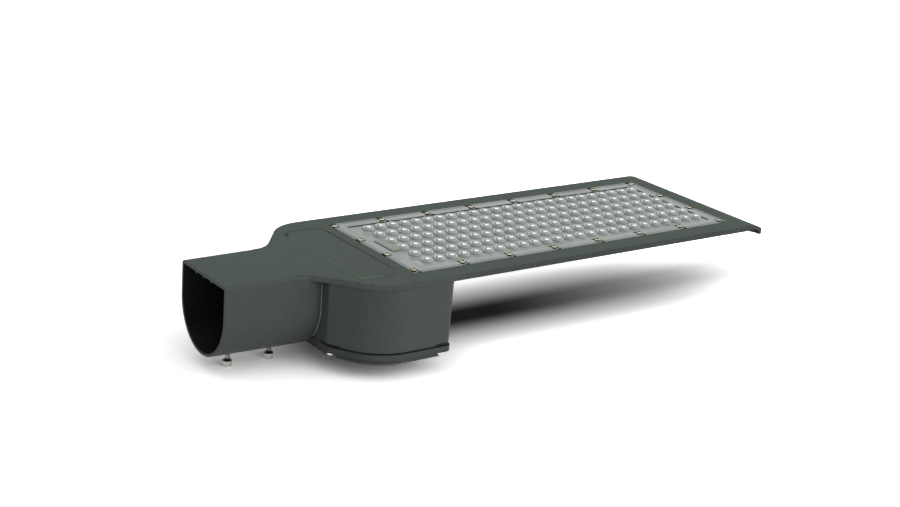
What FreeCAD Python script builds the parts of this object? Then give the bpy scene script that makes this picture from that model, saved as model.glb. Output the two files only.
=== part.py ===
import FreeCAD, Part
import math
import os
import re
import Sketcher
from FreeCAD import Placement, Rotation, Vector

# LED street light head, lying with its light side up.
# x runs from the socket mouth to the free end, y across, z up; the arm axis is y = 0, z = 0.
# Lengths are in millimetres and angles in degrees.

SIZES = [
    # shell
    ("face_height", 35.0, "light side above the arm axis"),
    ("end_reach", 616.0, "tip of the curled end"),
    ("plate_half", 101.0, "half width of the shell"),
    ("skirt_height", 6.0, "height of the edge all round"),
    ("skirt_wall", 3.0, "thickness of that edge"),
    ("top_wall", 3.5, "thickness of the light side"),
    ("neck_half", 41.0, "half width of the flat top over the socket"),
    ("neck_start", 70.7, "where the neck begins to flare"),
    ("neck_in_radius", 34.0, "hollow curve of the neck"),
    ("neck_out_radius", 45.0, "round curve of the neck"),
    ("neck_angle", 52.6, "slope of the neck between its curves"),
    ("end_corner_radius", 2.0, "corners of the free end"),
    ("end_radius", 32.0, "curl of the free end"),
    ("nose_radius", 5.0, "tight end of the curl"),
    ("end_run", 18.0, "length of the curl"),
    ("end_wall", 4.5, "thickness of the curled end"),
    ("end_nose_depth", 11.5, "drop of the curled end"),
    ("end_web_inset", 5.0, "how far the web under the curl stands back"),
    ("end_web_run", 5.0, "where the web starts before the curl"),
    # embossed panel on the neck
    ("panel_start", 124.3, "socket side of the panel"),
    ("panel_end", 168.0, "lens side of the panel"),
    ("panel_half", 74.0, "half width of the panel"),
    ("panel_rise", 0.7, "height of the panel"),
    ("panel_corner", 10.0, "corner of the panel"),
    # socket for the arm
    ("socket_half", 44.4, "half width outside"),
    ("socket_corner", 3.4, "outer top corners"),
    ("socket_corner_least", 0.4, "smallest inner top corner"),
    ("socket_turn", 2.0, "height where the sides turn under"),
    ("socket_bowl", 49.0, "depth of the round bottom below the turn"),
    ("socket_bottom_radius", 41.0, "curve of the lowest part"),
    ("socket_wall", 3.0, "wall"),
    ("mouth_lean", 5.0, "how far the bottom of the mouth stands out"),
    ("tube_stop", 84.0, "depth of the socket"),
    ("pass_radius", 25.0, "passage behind the stop"),
    ("pass_end", 97.5, "end of the passage"),
    ("socket_end_round", 14.0, "round under the end of the socket"),
    ("tooth_pitch", 15.3, "spacing of the gripping ribs"),
    ("tooth_height", 2.0, "height of a rib"),
    ("tooth_width", 4.0, "width of a rib"),
    # arm clamp bolts
    ("bolt_first", 26.5, "first clamp bolt"),
    ("bolt_pitch", 44.4, "spacing of the clamp bolts"),
    ("bolt_radius", 3.0, "shank"),
    ("bolt_length", 25.0, "length under the head"),
    ("bolt_tip_height", -30.0, "tip, where it meets the arm"),
    ("bolt_head_radius", 4.9, "head"),
    ("bolt_head_height", 6.0, "head"),
    ("bolt_key_radius", 2.9, "hexagon key recess over its corners"),
    ("bolt_key_depth", 3.0, "hexagon key recess"),
    ("bolt_boss_radius", 7.5, "threaded boss inside the socket"),
    ("bolt_boss_height", 4.0, "threaded boss inside the socket"),
    ("thread_gap", 0.05, "between a shank and its thread"),
    # driver box
    ("box_front", 100.5, "front wall"),
    ("box_back", 214.0, "back wall under the shell"),
    ("box_back_lean", 4.5, "how far the back wall leans in at the cover"),
    ("box_bottom", -33.0, "joint face to the cover"),
    ("box_wall", 3.0, "side walls"),
    ("box_corner_half", 56.5, "half width of the front wall"),
    ("flare_angle_top", 52.6, "slope of the flared sides under the shell"),
    ("flare_angle_low", 57.7, "slope of the flared sides at the cover"),
    ("side_radius_top", 44.0, "curve from flare to side under the shell"),
    ("side_radius_low", 53.0, "curve from flare to side at the cover"),
    ("side_inset", 1.0, "side walls under the shell, in from its edge"),
    ("side_spread", 2.6, "side walls at the cover, out from the shell's edge"),
    ("box_front_round", 2.5, "front corners"),
    ("box_back_round", 5.0, "back corners"),
    ("least_round", 1.0, "smallest corner of an inner outline"),
    ("flange_height", 4.0, "inner flange at the joint face"),
    ("flange_width", 10.0, "inner flange at the joint face"),
    # cover
    ("cover_rim", 6.8, "height of the cover's rim"),
    ("cover_wall", 3.0, "thickness of the cover"),
    ("cover_proud", 1.3, "how far the rim stands out from the wall"),
    ("cover_front_gap", 0.5, "gap between the cover and the socket end"),
    ("cover_land", 10.5, "width of the rim"),
    ("cover_step", 3.5, "raised middle of the cover"),
    ("cover_step_inset", 6.0, "raised middle, in from the edge"),
    ("cover_screw_clear", 7.0, "flat ring around a cover screw"),
    ("seal_thick", 1.2, "cover seal"),
    ("seal_inset", 2.2, "cover seal, in from the wall"),
    ("front_screw_run", 6.5, "front cover screws, behind the front wall"),
    ("front_screw_inset", 2.5, "front cover screws, in from the front corners"),
    ("back_screw_run", 5.7, "back cover screws, in from the back wall"),
    ("back_screw_inset", 8.1, "back cover screws, in from the side walls"),
    ("cover_screw_radius", 2.0, "shank"),
    ("cover_screw_length", 14.0, "length under the head"),
    ("cover_screw_head", 3.4, "head radius"),
    ("cover_screw_head_height", 3.0, "head height"),
    ("cover_boss_radius", 5.0, "bosses for the cover screws"),
    ("cover_boss_height", 30.0, "bosses for the cover screws"),
    # lens seat and lens
    ("lens_start", 181.0, "lens plate, socket side"),
    ("lens_end", 583.0, "lens plate, free side"),
    ("lens_half", 79.0, "half width of the lens plate"),
    ("lens_thick", 2.7, "rim of the lens plate"),
    ("lens_gap", 0.4, "around the lens plate in its seat"),
    ("lens_field_inset", 13.5, "step between rim and lens field"),
    ("lens_field_drop", 0.6, "step between rim and lens field"),
    ("pan_border", 4.0, "metal around the lens seat"),
    ("pan_depth", 12.0, "thickness of the shell under the lamps"),
    ("chamber_start", 190.0, "lamp chamber, socket side"),
    ("chamber_end", 574.0, "lamp chamber, free side"),
    ("chamber_half", 66.0, "half width of the lamp chamber"),
    ("chamber_depth", 8.0, "floor below the light side"),
    ("gasket_width", 2.6, "lens gasket"),
    ("gasket_thick", 1.0, "lens gasket"),
    # lamps
    ("column_first", 211.8, "first column of lamps"),
    ("column_pitch", 14.57, "spacing along the head"),
    ("row_pitch", 21.15, "spacing across the head"),
    ("dome_half_length", 5.4, "lens dome along the head"),
    ("dome_half_width", 6.4, "lens dome across the head"),
    ("dome_top_scale", 0.6, "dome at its top, share of its foot"),
    ("dome_height", 3.2, "height of the dome"),
    ("board_thick", 1.6, "lamp board"),
    ("board_gap", 1.0, "around the board"),
    ("chip_half", 1.75, "lamp chip"),
    ("chip_height", 0.8, "lamp chip"),
    # connector
    ("plug_centre", 200.5, "board connector"),
    ("plug_half_length", 4.0, "board connector along the head"),
    ("plug_half_width", 11.0, "board connector across the head"),
    ("plug_height", 5.4, "board connector"),
    ("slot_half", 2.0, "wire slots of the board connector"),
    ("slot_near", 2.8, "wire slots, nearer side"),
    ("slot_far", 8.2, "wire slots, farther side"),
    ("slot_depth", 1.8, "wire slots of the board connector"),
    ("hood_half_length", 5.5, "hood of the lens plate along the head"),
    ("hood_half_width", 16.4, "hood of the lens plate across the head"),
    ("hood_rise", 2.4, "hood above the rim"),
    ("hood_wall", 1.2, "hood"),
    # lens screws
    ("screw_first", 184.0, "first screw of a long side"),
    ("screw_pitch", 56.2, "spacing on a long side"),
    ("screw_line", 72.0, "long sides, from the middle"),
    ("end_screw_inset", 3.7, "short sides, in from the lens edge"),
    ("end_screw_line", 24.0, "short sides, from the middle"),
    ("screw_radius", 1.5, "shank"),
    ("lens_screw_length", 8.0, "length under the head"),
    ("screw_head", 2.9, "head radius"),
    ("screw_head_height", 2.4, "head height"),
    ("notch_half", 4.2, "half width of the notch around a screw"),
    ("notch_depth", 0.8, "notch around a screw"),
    ("hole_gap", 0.25, "around a shank in a plain hole"),
    ("hole_spare", 0.7, "thread below a screw's tip"),
    # board screws
    ("board_screw_line", 42.3, "board screws, from the middle"),
    ("board_screw_length", 4.0, "length under the head"),
    ("board_screw_head_height", 1.8, "head height"),
    # cooling fins
    ("fin_count", 11.0, "fins"),
    ("fin_span", 120.0, "first fin to last"),
    ("fin_thick", 2.4, "fin"),
    ("fin_height", 9.0, "fin at the driver box"),
    ("fin_end_height", 5.0, "fin at the free end"),
    ("fin_level_length", 150.0, "full height up to here"),
    ("fin_root", 0.6, "fins run this far into the shell"),
    # driver and its feet
    ("driver_start", 128.0, "driver case"),
    ("driver_width", 62.0, "driver case along the head"),
    ("driver_half", 70.0, "driver case, half length"),
    ("driver_top", 21.0, "driver case and feet, top"),
    ("driver_height", 36.0, "driver case"),
    ("driver_round", 3.0, "edges of the driver case"),
    ("foot_length", 8.0, "feet beyond the case"),
    ("foot_thick", 1.5, "feet"),
    ("foot_screw_front", 140.0, "foot screws"),
    ("foot_screw_back", 180.0, "foot screws"),
    ("foot_screw_length", 5.5, "length under the head"),
    ("stand_radius", 5.0, "stands for the driver"),
    # terminal block, surge protector, earth screw
    ("block_start", 106.0, "terminal block and surge protector"),
    ("block_length", 20.0, "terminal block and surge protector"),
    ("block_near", 14.5, "nearer face, from the middle"),
    ("block_far", 42.0, "farther face, from the middle"),
    ("terminal_height", 18.0, "terminal block"),
    ("terminal_cells", 3.0, "wire entries"),
    ("cell_radius", 2.2, "wire entry"),
    ("cell_depth", 9.0, "wire entry"),
    ("surge_height", 29.0, "surge protector"),
    ("earth_x", 120.0, "earth screw"),
    ("earth_boss_radius", 5.0, "earth boss"),
    ("earth_boss_height", 7.0, "earth boss"),
    ("earth_screw_length", 6.0, "length under the head"),
    ("washer_thick", 0.8, "earth washer"),
    ("washer_radius", 4.6, "earth washer"),
    # cable gland
    ("gland_radius", 8.0, "thread"),
    ("gland_bore", 4.5, "cable passage"),
    ("gland_hex", 12.5, "hexagon over its corners"),
    ("gland_flange", 5.0, "hexagon thickness"),
    ("gland_inside", 8.0, "thread inside the box"),
    ("gland_outside", 8.0, "thread outside the hexagon"),
    ("gland_nut", 4.5, "lock nut"),
    ("gland_cap", 14.0, "cap"),
    ("gland_cap_radius", 11.0, "cap"),
    ("gland_seal_radius", 6.5, "rubber insert"),
    # leads
    ("lead_radius", 2.25, "both leads"),
    ("lead_height", 3.0, "where the leads leave the driver"),
    ("output_exit", 172.0, "output lead on the driver"),
    ("output_reach", 14.0, "output lead beyond the driver"),
    ("output_sway", 3.0, "output lead, bend along the back wall"),
    ("lead_rise", 12.0, "output lead, turn up to the lamp board"),
    ("input_exit", 150.0, "input lead on the driver"),
    ("input_run", 9.0, "input lead beyond the driver"),
    ("input_sway", 14.0, "input lead, farthest from the driver"),
    ("entry_line", 12.5, "wire entries, from the block's front"),
    ("grommet_radius", 5.0, "grommet in its hole"),
    ("grommet_flange", 7.0, "grommet flange"),
    ("grommet_lip", 1.5, "grommet flange thickness"),
    ("slip", 0.05, "between a lead and its grommet"),
]

COLUMNS = 25
ROWS = 6
SIDE_SCREWS = 8
BOARD_SCREW_COLUMNS = (-0.5, 4.5, 9.5, 13.5, 18.5, 23.5)
DOME_SIDES = 6
HEAD_SIDES = 8
BOSS_SIDES = 10
SHANK_SIDES = 6
GLAND_SIDES = 12
LEAD_SIDES = 6
BEND_CHORDS = 4
HEXAGON = 6
RUN_SHARE = 0.45
HALF_DIAGONAL = math.sqrt(0.5)

doc = FreeCAD.newDocument("street_light_head")
sheet = doc.addObject("Spreadsheet::Sheet", "Sizes")
for line, (alias, value, note) in enumerate(SIZES, start=1):
    sheet.set("A%d" % line, alias)
    sheet.set("B%d" % line, str(value))
    sheet.set("C%d" % line, note)
    sheet.setAlias("B%d" % line, alias)
doc.recompute()


def size(alias):
    return float(sheet.get(alias))


def bound(text):
    """An expression in the names of the sheet's sizes, as a feature reads it."""
    return re.sub(r"[a-z][a-z_]+", r"Sizes.\g<0>", text)


def value_of(text):
    return float(sheet.evalExpression(bound(text)))


def both_sides(x, y):
    return [(x, -y), (x, y)]


# Sketches and features

def new_body(label):
    body = doc.addObject("PartDesign::Body", label)
    body.Label = label
    return body


def new_sketch(body, name, role, offset, curves=()):
    sketch = body.newObject("Sketcher::SketchObject", name)
    plane = next(item for item in body.Origin.OriginFeatures if item.Role == role)
    sketch.AttachmentSupport = (plane, "")
    sketch.MapMode = "FlatFace"
    sketch.setExpression("AttachmentOffset.Base.z", bound(offset))
    if curves:
        sketch.addGeometry(list(curves), False)
    return sketch


def segments(points):
    ends = points[1:] + points[:1]
    return [Part.LineSegment(Vector(*a, 0), Vector(*b, 0)) for a, b in zip(points, ends)]


def constrain(sketch, expression, *words):
    number = sketch.addConstraint(Sketcher.Constraint(*words, value_of(expression)))
    sketch.setExpression("Constraints[%d]" % number, bound(expression))


def draw_rectangle(sketch, left, right, low, high):
    """A rectangle whose four sides are bound to the sheet."""
    x = (value_of(left), value_of(right))
    y = (value_of(low), value_of(high))
    first = sketch.GeometryCount
    sketch.addGeometry(segments([(x[0], y[0]), (x[1], y[0]), (x[1], y[1]), (x[0], y[1])]), False)
    for side in range(4):
        following = first + (side + 1) % 4
        sketch.addConstraint(Sketcher.Constraint("Coincident", first + side, 2, following, 1))
        kind = ("Horizontal", "Vertical")[side % 2]
        sketch.addConstraint(Sketcher.Constraint(kind, first + side))
    constrain(sketch, left, "DistanceX", -1, 1, first, 1)
    constrain(sketch, low, "DistanceY", -1, 1, first, 1)
    constrain(sketch, right, "DistanceX", -1, 1, first + 2, 1)
    constrain(sketch, high, "DistanceY", -1, 1, first + 2, 1)


def round_rectangle(left, right, low, high, radius):
    """A rectangle with round corners, as curves."""
    curves = []
    corners = ((right, high, 1, 1), (left, high, -1, 1), (left, low, -1, -1), (right, low, 1, -1))
    for x, y, way_x, way_y in corners:
        centre = Vector(x - way_x * radius, y - way_y * radius, 0)
        upright = centre + Vector(way_x * radius, 0, 0)
        level = centre + Vector(0, way_y * radius, 0)
        middle = centre + Vector(way_x, way_y, 0) * (radius * HALF_DIAGONAL)
        ends = (upright, level) if way_x == way_y else (level, upright)
        curves.append(Part.Arc(ends[0], middle, ends[1]))
    sides = [Part.LineSegment(a.EndPoint, b.StartPoint) for a, b in zip(curves, curves[1:] + curves[:1])]
    return curves + sides


def feature(body, kind, name, sketch, length, reversed_way=False, midplane=False):
    """A pad or pocket of a sketch; its length is bound to the sheet."""
    item = body.newObject("PartDesign::" + kind, name)
    item.Profile = sketch
    item.Reversed = reversed_way
    item.Midplane = midplane
    item.setExpression("Length", bound(length))
    before = body.Shape.Volume if body.Shape and not body.Shape.isNull() else 0.0
    doc.recompute()
    grown = item.Shape.Volume - before
    if (kind == "Pad") != (grown > 0) or abs(grown) < 0.01:
        raise RuntimeError("%s changes nothing: %.3f" % (name, grown))
    return item


def pad(body, name, sketch, length, **ways):
    return feature(body, "Pad", name, sketch, length, **ways)


def pocket(body, name, sketch, length, **ways):
    return feature(body, "Pocket", name, sketch, length, **ways)


def add_shape(label, shape):
    item = doc.addObject("Part::Feature", label)
    item.Label = label
    item.Shape = shape
    return item


# Outlines in plan

def neck_curves(inset):
    """One flared side of the shell, from the socket to its straight side, moved in by inset."""
    angle = math.radians(size("neck_angle"))
    half = size("neck_half") - inset
    wide = size("plate_half") - inset
    inner = size("neck_in_radius") + inset
    outer = size("neck_out_radius") - inset
    bend = Vector(size("neck_start"), half + inner, 0)
    low_end = bend + Vector(inner * math.sin(angle), -inner * math.cos(angle), 0)
    low_mid = bend + Vector(inner * math.sin(angle / 2), -inner * math.cos(angle / 2), 0)
    high_y = wide - outer + outer * math.cos(angle)
    high_x = low_end.x + (high_y - low_end.y) / math.tan(angle)
    centre = Vector(high_x + outer * math.sin(angle), wide - outer, 0)
    high_mid = centre + Vector(-outer * math.sin(angle / 2), outer * math.cos(angle / 2), 0)
    return [
        (Vector(size("neck_start"), half, 0), low_mid, low_end),
        (low_end, Vector(high_x, high_y, 0)),
        (Vector(high_x, high_y, 0), high_mid, Vector(centre.x, wide, 0)),
    ]


def flip(point):
    return Vector(point.x, -point.y, 0)


def both_ends(x, half):
    return Vector(x, -half, 0), Vector(x, half, 0)


def curve_of(points):
    return Part.LineSegment(*points) if len(points) == 2 else Part.Arc(*points)


def shell_outline(start, end, inset):
    """The shell in plan from the socket to the straight end, moved in by inset."""
    side = neck_curves(inset)
    half = side[0][0].y
    wide = side[-1][-1].y
    far = [(Vector(start, half, 0), side[0][0])] + side + [(side[-1][-1], Vector(end, wide, 0))]
    near = [tuple(flip(point) for point in points) for points in far]
    closing = [both_ends(start, half), both_ends(end, wide)]
    return [curve_of(points) for points in far + near + closing]


def set_in(corner, first_normal, second_normal, inset):
    """A corner of two lines, each moved in along its normal."""
    return corner - (first_normal + second_normal) * (inset / (1 + first_normal.dot(second_normal)))


def round_corner(corner, way_in, way_out, radius):
    """The start, middle and end of an arc that rounds a corner between two ways."""
    half_turn = math.acos(way_in.dot(way_out)) / 2
    run = radius * math.tan(half_turn)
    inward = (way_out - way_in).normalize()
    middle = corner + inward * (radius / math.cos(half_turn) - radius)
    return corner - way_in * run, middle, corner + way_out * run


def box_half(level):
    """Half width of the driver box; level is top, under the shell, or low, at the cover."""
    spread = -size("side_inset") if level == "top" else size("side_spread")
    return size("plate_half") + spread


def box_end(level):
    return size("box_back") - (size("box_back_lean") if level == "low" else 0.0)


def box_outline(level, inset, front_inset=None):
    """The driver box in plan, at one of its two levels."""
    front_inset = inset if front_inset is None else front_inset
    slope = math.radians(size("flare_angle_" + level))
    flare = Vector(math.cos(slope), math.sin(slope), 0)
    along = Vector(1, 0, 0)
    across = Vector(0, 1, 0)
    flare_out = Vector(-flare.y, flare.x, 0)
    corner = set_in(Vector(size("box_front"), size("box_corner_half"), 0), -along, flare_out, inset)
    corner += flare * ((front_inset - inset) / flare.x)
    side = box_half(level) - inset
    shoulder = corner + flare * ((side - corner.y) / flare.y)
    back = box_end(level) - inset
    front_round = max(size("box_front_round") - inset, size("least_round"))
    back_round = max(size("box_back_round") - inset, size("least_round"))
    bends = [
        round_corner(corner, across, flare, front_round),
        round_corner(shoulder, flare, along, size("side_radius_" + level) - inset),
        round_corner(Vector(back, side, 0), along, -across, back_round),
    ]
    curves = [curve_of([flip(bends[0][0]), bends[0][0]]), curve_of([bends[-1][-1], flip(bends[-1][-1])])]
    for turn in (Vector, flip):
        runs = [(first[-1], second[0]) for first, second in zip(bends, bends[1:])]
        curves += [curve_of([turn(point) for point in points]) for points in bends + runs]
    return curves


def polygon(x, y, radius, sides):
    turns = [2 * math.pi / sides * (i + 0.5) for i in range(sides)]
    return [(x + radius * math.cos(turn), y + radius * math.sin(turn)) for turn in turns]


def holes(places, radius, sides):
    """Small many-sided holes, one at each place."""
    return [curve for x, y in places for curve in segments(polygon(x, y, radius, sides))]


def prism(x, y, radius, sides, low, high):
    points = [Vector(px, py, low) for px, py in polygon(x, y, radius, sides)]
    return Part.Face(Part.makePolygon(points + points[:1])).extrude(Vector(0, 0, high - low))


def ring(x, outer, inner, sides, low, high):
    """A many-sided ring around the upright line at x."""
    return prism(x, 0, outer, sides, low, high).cut(prism(x, 0, inner, sides, low, high))


def screw(x, y, seat, way, name):
    """A pan-head screw on seat, named as in the sheet; way is 1 with the head up, -1 with it down."""
    large = name == "cover_screw"
    shank = size("cover_screw_radius" if large else "screw_radius")
    head = size("cover_screw_head" if large else "screw_head")
    rise = {"cover_screw": "cover_screw_head_height", "board_screw": "board_screw_head_height"}
    height = size(rise.get(name, "screw_head_height"))
    rod = prism(x, y, shank, SHANK_SIDES, *sorted((seat, seat - way * size(name + "_length"))))
    cap = prism(x, y, head, HEAD_SIDES, *sorted((seat, seat + way * height)))
    return rod.fuse(cap).removeSplitter()


# Where things repeat

def lamp_places():
    first_row = -size("row_pitch") * (ROWS - 1) / 2
    return [
        (size("column_first") + size("column_pitch") * i, first_row + size("row_pitch") * j)
        for i in range(COLUMNS) for j in range(ROWS)
    ]


def lens_screw_places():
    places = []
    for i in range(SIDE_SCREWS):
        places += both_sides(size("screw_first") + size("screw_pitch") * i, size("screw_line"))
    for x in (size("lens_start") + size("end_screw_inset"), size("lens_end") - size("end_screw_inset")):
        places += both_sides(x, size("end_screw_line"))
    return places


def board_screw_places():
    places = []
    for column in BOARD_SCREW_COLUMNS:
        places += both_sides(size("column_first") + size("column_pitch") * column, size("board_screw_line"))
    return places


def cover_screw_places():
    front_x = size("box_front") + size("front_screw_run")
    front_y = size("box_corner_half") - size("front_screw_inset")
    back_x = box_end("low") - size("back_screw_run")
    back_y = box_half("low") - size("back_screw_inset")
    return both_sides(front_x, front_y) + both_sides(back_x, back_y)


def foot_places():
    line = size("driver_half") + size("foot_length") / 2
    return both_sides(size("foot_screw_front"), line) + both_sides(size("foot_screw_back"), line)


def bolt_places():
    return [(size("bolt_first"), 0.0), (size("bolt_first") + size("bolt_pitch"), 0.0)]


# Levels

FACE = size("face_height")
PAN_BASE = FACE - size("pan_depth")
FLOOR = FACE - size("chamber_depth")
CEILING = FACE - size("top_wall")
BOARD_TOP = FLOOR + size("board_thick")
COVER_FACE = size("box_bottom") - size("cover_rim")
NOTCH_FLOOR = FACE - size("notch_depth")


# Housing: one casting

def socket_profile(wall):
    """The socket's section, as (y, z) curves, moved in by wall."""
    half = size("socket_half") - wall
    top = FACE - wall
    turn = size("socket_turn")
    bowl = size("socket_bowl") - wall
    corner = max(size("socket_corner") - wall, size("socket_corner_least"))
    low_radius = size("socket_bottom_radius") - wall
    sink = bowl - low_radius
    side_radius = (half ** 2 + sink ** 2 - low_radius ** 2) / (half - low_radius) / 2
    low_centre = Vector(0, turn - sink, 0)
    curves = []
    joints = []
    for side in (1, -1):
        edge = Vector(side * (half - corner), top, 0)
        bend = Vector(side * (half - corner), top - corner, 0) + Vector(side, 1, 0) * (corner * HALF_DIAGONAL)
        start = Vector(side * half, turn, 0)
        centre = Vector(side * (half - side_radius), turn, 0)
        way = (low_centre - centre).normalize()
        between = (way + Vector(side, 0, 0)).normalize()
        joints.append(low_centre + way * low_radius)
        curves.append(Part.Arc(edge, bend, Vector(side * half, top - corner, 0)))
        curves.append(Part.LineSegment(Vector(side * half, top - corner, 0), start))
        curves.append(Part.Arc(start, centre + between * side_radius, joints[-1]))
    curves.append(Part.Arc(joints[0], Vector(0, turn - bowl, 0), joints[1]))
    return curves, half - corner, top


def socket_outside():
    curves, reach, top = socket_profile(0.0)
    return curves + [Part.LineSegment(Vector(-reach, top, 0), Vector(reach, top, 0))]


def socket_inside():
    """The hollow, with three pointed ribs left standing under its flat top."""
    curves, reach, top = socket_profile(size("socket_wall"))
    half = size("tooth_width") / 2
    points = [(-reach, top)]
    for step in (-1, 0, 1):
        middle = step * size("tooth_pitch")
        points += [(middle - half, top), (middle, top - size("tooth_height")), (middle + half, top)]
    points.append((reach, top))
    line = [Part.LineSegment(Vector(*a, 0), Vector(*b, 0)) for a, b in zip(points, points[1:])]
    return curves + line


def loft(body, kind, name, first, second):
    item = body.newObject("PartDesign::" + kind, name)
    item.Profile = first
    item.Sections = [second]
    doc.recompute()
    return item


def draw_shell(body):
    """The light side with its flared neck, and the edge that stands down all round."""
    start = size("neck_start") - size("skirt_height")
    end = size("end_reach") - size("end_run")
    wall = size("skirt_wall")
    plate = new_sketch(body, "shell_outline", "XY_Plane", "face_height", shell_outline(start, end, 0.0))
    pad(body, "shell", plate, "skirt_height", reversed_way=True)
    inner = shell_outline(start, end - wall, wall)
    under = new_sketch(body, "under_outline", "XY_Plane", "face_height - skirt_height", inner)
    pocket(body, "under", under, "skirt_height - top_wall", reversed_way=True)


def curl_curves(wall):
    """The free end's curl, moved in by wall: a gentle arc, then a tight one; and where it ends."""
    start = size("end_reach") - size("end_run")
    radius = size("end_radius") - wall
    tight = max(size("nose_radius") - wall, size("least_round"))
    centre = Vector(start, FACE - size("end_radius"), 0)
    reach = size("end_run") - wall - tight
    height = math.sqrt((radius - tight) ** 2 - reach ** 2)
    nose = centre + Vector(reach, height, 0)
    turn = math.asin(reach / (radius - tight))
    quarter = math.pi / 2

    def on_arc(middle, size_of_arc, angle):
        return middle + Vector(math.sin(angle), math.cos(angle), 0) * size_of_arc

    curves = [
        Part.Arc(on_arc(centre, radius, 0), on_arc(centre, radius, turn / 2), on_arc(centre, radius, turn)),
        Part.Arc(on_arc(nose, tight, turn), on_arc(nose, tight, (turn + quarter) / 2),
                 on_arc(nose, tight, quarter)),
    ]
    return curves, nose.y


def draw_end(body):
    """The free end: a curl, a web set back under it, and round corners."""
    start = size("end_reach") - size("end_run")
    tip = size("end_reach")
    back = start - size("end_web_run")
    under_z = FACE - size("end_wall")
    nose_z = FACE - size("end_nose_depth")
    skirt_z = FACE - size("skirt_height")

    def line(*ends):
        return Part.LineSegment(Vector(*ends[0], 0), Vector(*ends[1], 0))

    outer, outer_end = curl_curves(0.0)
    inner, inner_end = curl_curves(size("end_wall"))
    curl = outer + inner + [
        line((back, FACE), (start, FACE)), line((tip, outer_end), (tip, nose_z)),
        line((tip, nose_z), (tip - size("end_wall"), nose_z)),
        line((tip - size("end_wall"), nose_z), (tip - size("end_wall"), inner_end)),
        line((start, under_z), (back, under_z)), line((back, under_z), (back, FACE)),
    ]
    section = new_sketch(body, "curl_section", "XZ_Plane", "0", curl)
    pad(body, "curl", section, "2 * plate_half", midplane=True)
    web = inner + [
        line((back, under_z), (start, under_z)),
        line((tip - size("end_wall"), inner_end), (tip - size("end_wall"), nose_z)),
        line((tip - size("end_wall"), nose_z), (back, skirt_z)), line((back, skirt_z), (back, under_z)),
    ]
    section = new_sketch(body, "web_section", "XZ_Plane", "0", web)
    pad(body, "web", section, "2 * (plate_half - end_web_inset)", midplane=True)
    corner = size("end_corner_radius")
    wide = size("plate_half")
    pieces = []
    for side in (1, -1):
        low = Vector(tip - corner, side * wide, 0)
        bend = Vector(tip - corner, side * (wide - corner), 0) + Vector(1, side, 0) * (corner * HALF_DIAGONAL)
        high = Vector(tip, side * (wide - corner), 0)
        out = Vector(tip + corner, side * (wide + corner), 0)
        pieces += [
            Part.Arc(low, bend, high), Part.LineSegment(high, Vector(out.x, high.y, 0)),
            Part.LineSegment(Vector(out.x, high.y, 0), out), Part.LineSegment(out, Vector(low.x, out.y, 0)),
            Part.LineSegment(Vector(low.x, out.y, 0), low),
        ]
    corners = new_sketch(body, "corner_outline", "XY_Plane", "face_height", pieces)
    pocket(body, "corners", corners, "2 * end_nose_depth")


def draw_socket(body):
    """The arm socket, its leaning mouth and its rounded inner end."""
    outside = new_sketch(body, "socket_section", "YZ_Plane", "-mouth_lean", socket_outside())
    pad(body, "socket", outside, "box_front + mouth_lean")
    low = size("socket_turn") - size("socket_bowl")
    reach = size("mouth_lean")
    mouth = [(0.0, FACE), (-reach, low), (-2 * reach, low), (-2 * reach, FACE)]
    lean = new_sketch(body, "mouth_cut", "XZ_Plane", "0", segments(mouth))
    pocket(body, "mouth", lean, "3 * socket_half", midplane=True)
    turn = size("socket_end_round")
    end = size("box_front")
    base = size("box_bottom")
    bend = Vector(end - turn, base, 0) + Vector(1, -1, 0) * (turn * HALF_DIAGONAL)
    round_cut = [
        Part.Arc(Vector(end - turn, base - turn, 0), bend, Vector(end, base, 0)),
        Part.LineSegment(Vector(end, base, 0), Vector(end + turn, base, 0)),
        Part.LineSegment(Vector(end + turn, base, 0), Vector(end + turn, base - 2 * turn, 0)),
        Part.LineSegment(Vector(end + turn, base - 2 * turn, 0), Vector(end - turn, base - 2 * turn, 0)),
        Part.LineSegment(Vector(end - turn, base - 2 * turn, 0), Vector(end - turn, base - turn, 0)),
    ]
    under = new_sketch(body, "end_round_cut", "XZ_Plane", "0", round_cut)
    pocket(body, "end_round", under, "3 * socket_half", midplane=True)


def draw_box(body):
    """The driver box: walls that lean out towards the cover, its hollow and its inner flange."""
    top = new_sketch(body, "box_top", "XY_Plane", "face_height - top_wall", box_outline("top", 0.0))
    low = new_sketch(body, "box_low", "XY_Plane", "box_bottom", box_outline("low", 0.0))
    loft(body, "AdditiveLoft", "box", low, top)
    roof = new_sketch(body, "hollow_outline", "XY_Plane", "face_height - top_wall",
                      box_outline("top", size("box_wall")))
    pocket(body, "hollow", roof, "face_height - top_wall - box_bottom - flange_height")
    outline = box_outline("low", size("flange_width"))
    opening = new_sketch(body, "opening_outline", "XY_Plane", "box_bottom", outline)
    pocket(body, "opening", opening, "flange_height", reversed_way=True)


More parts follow.
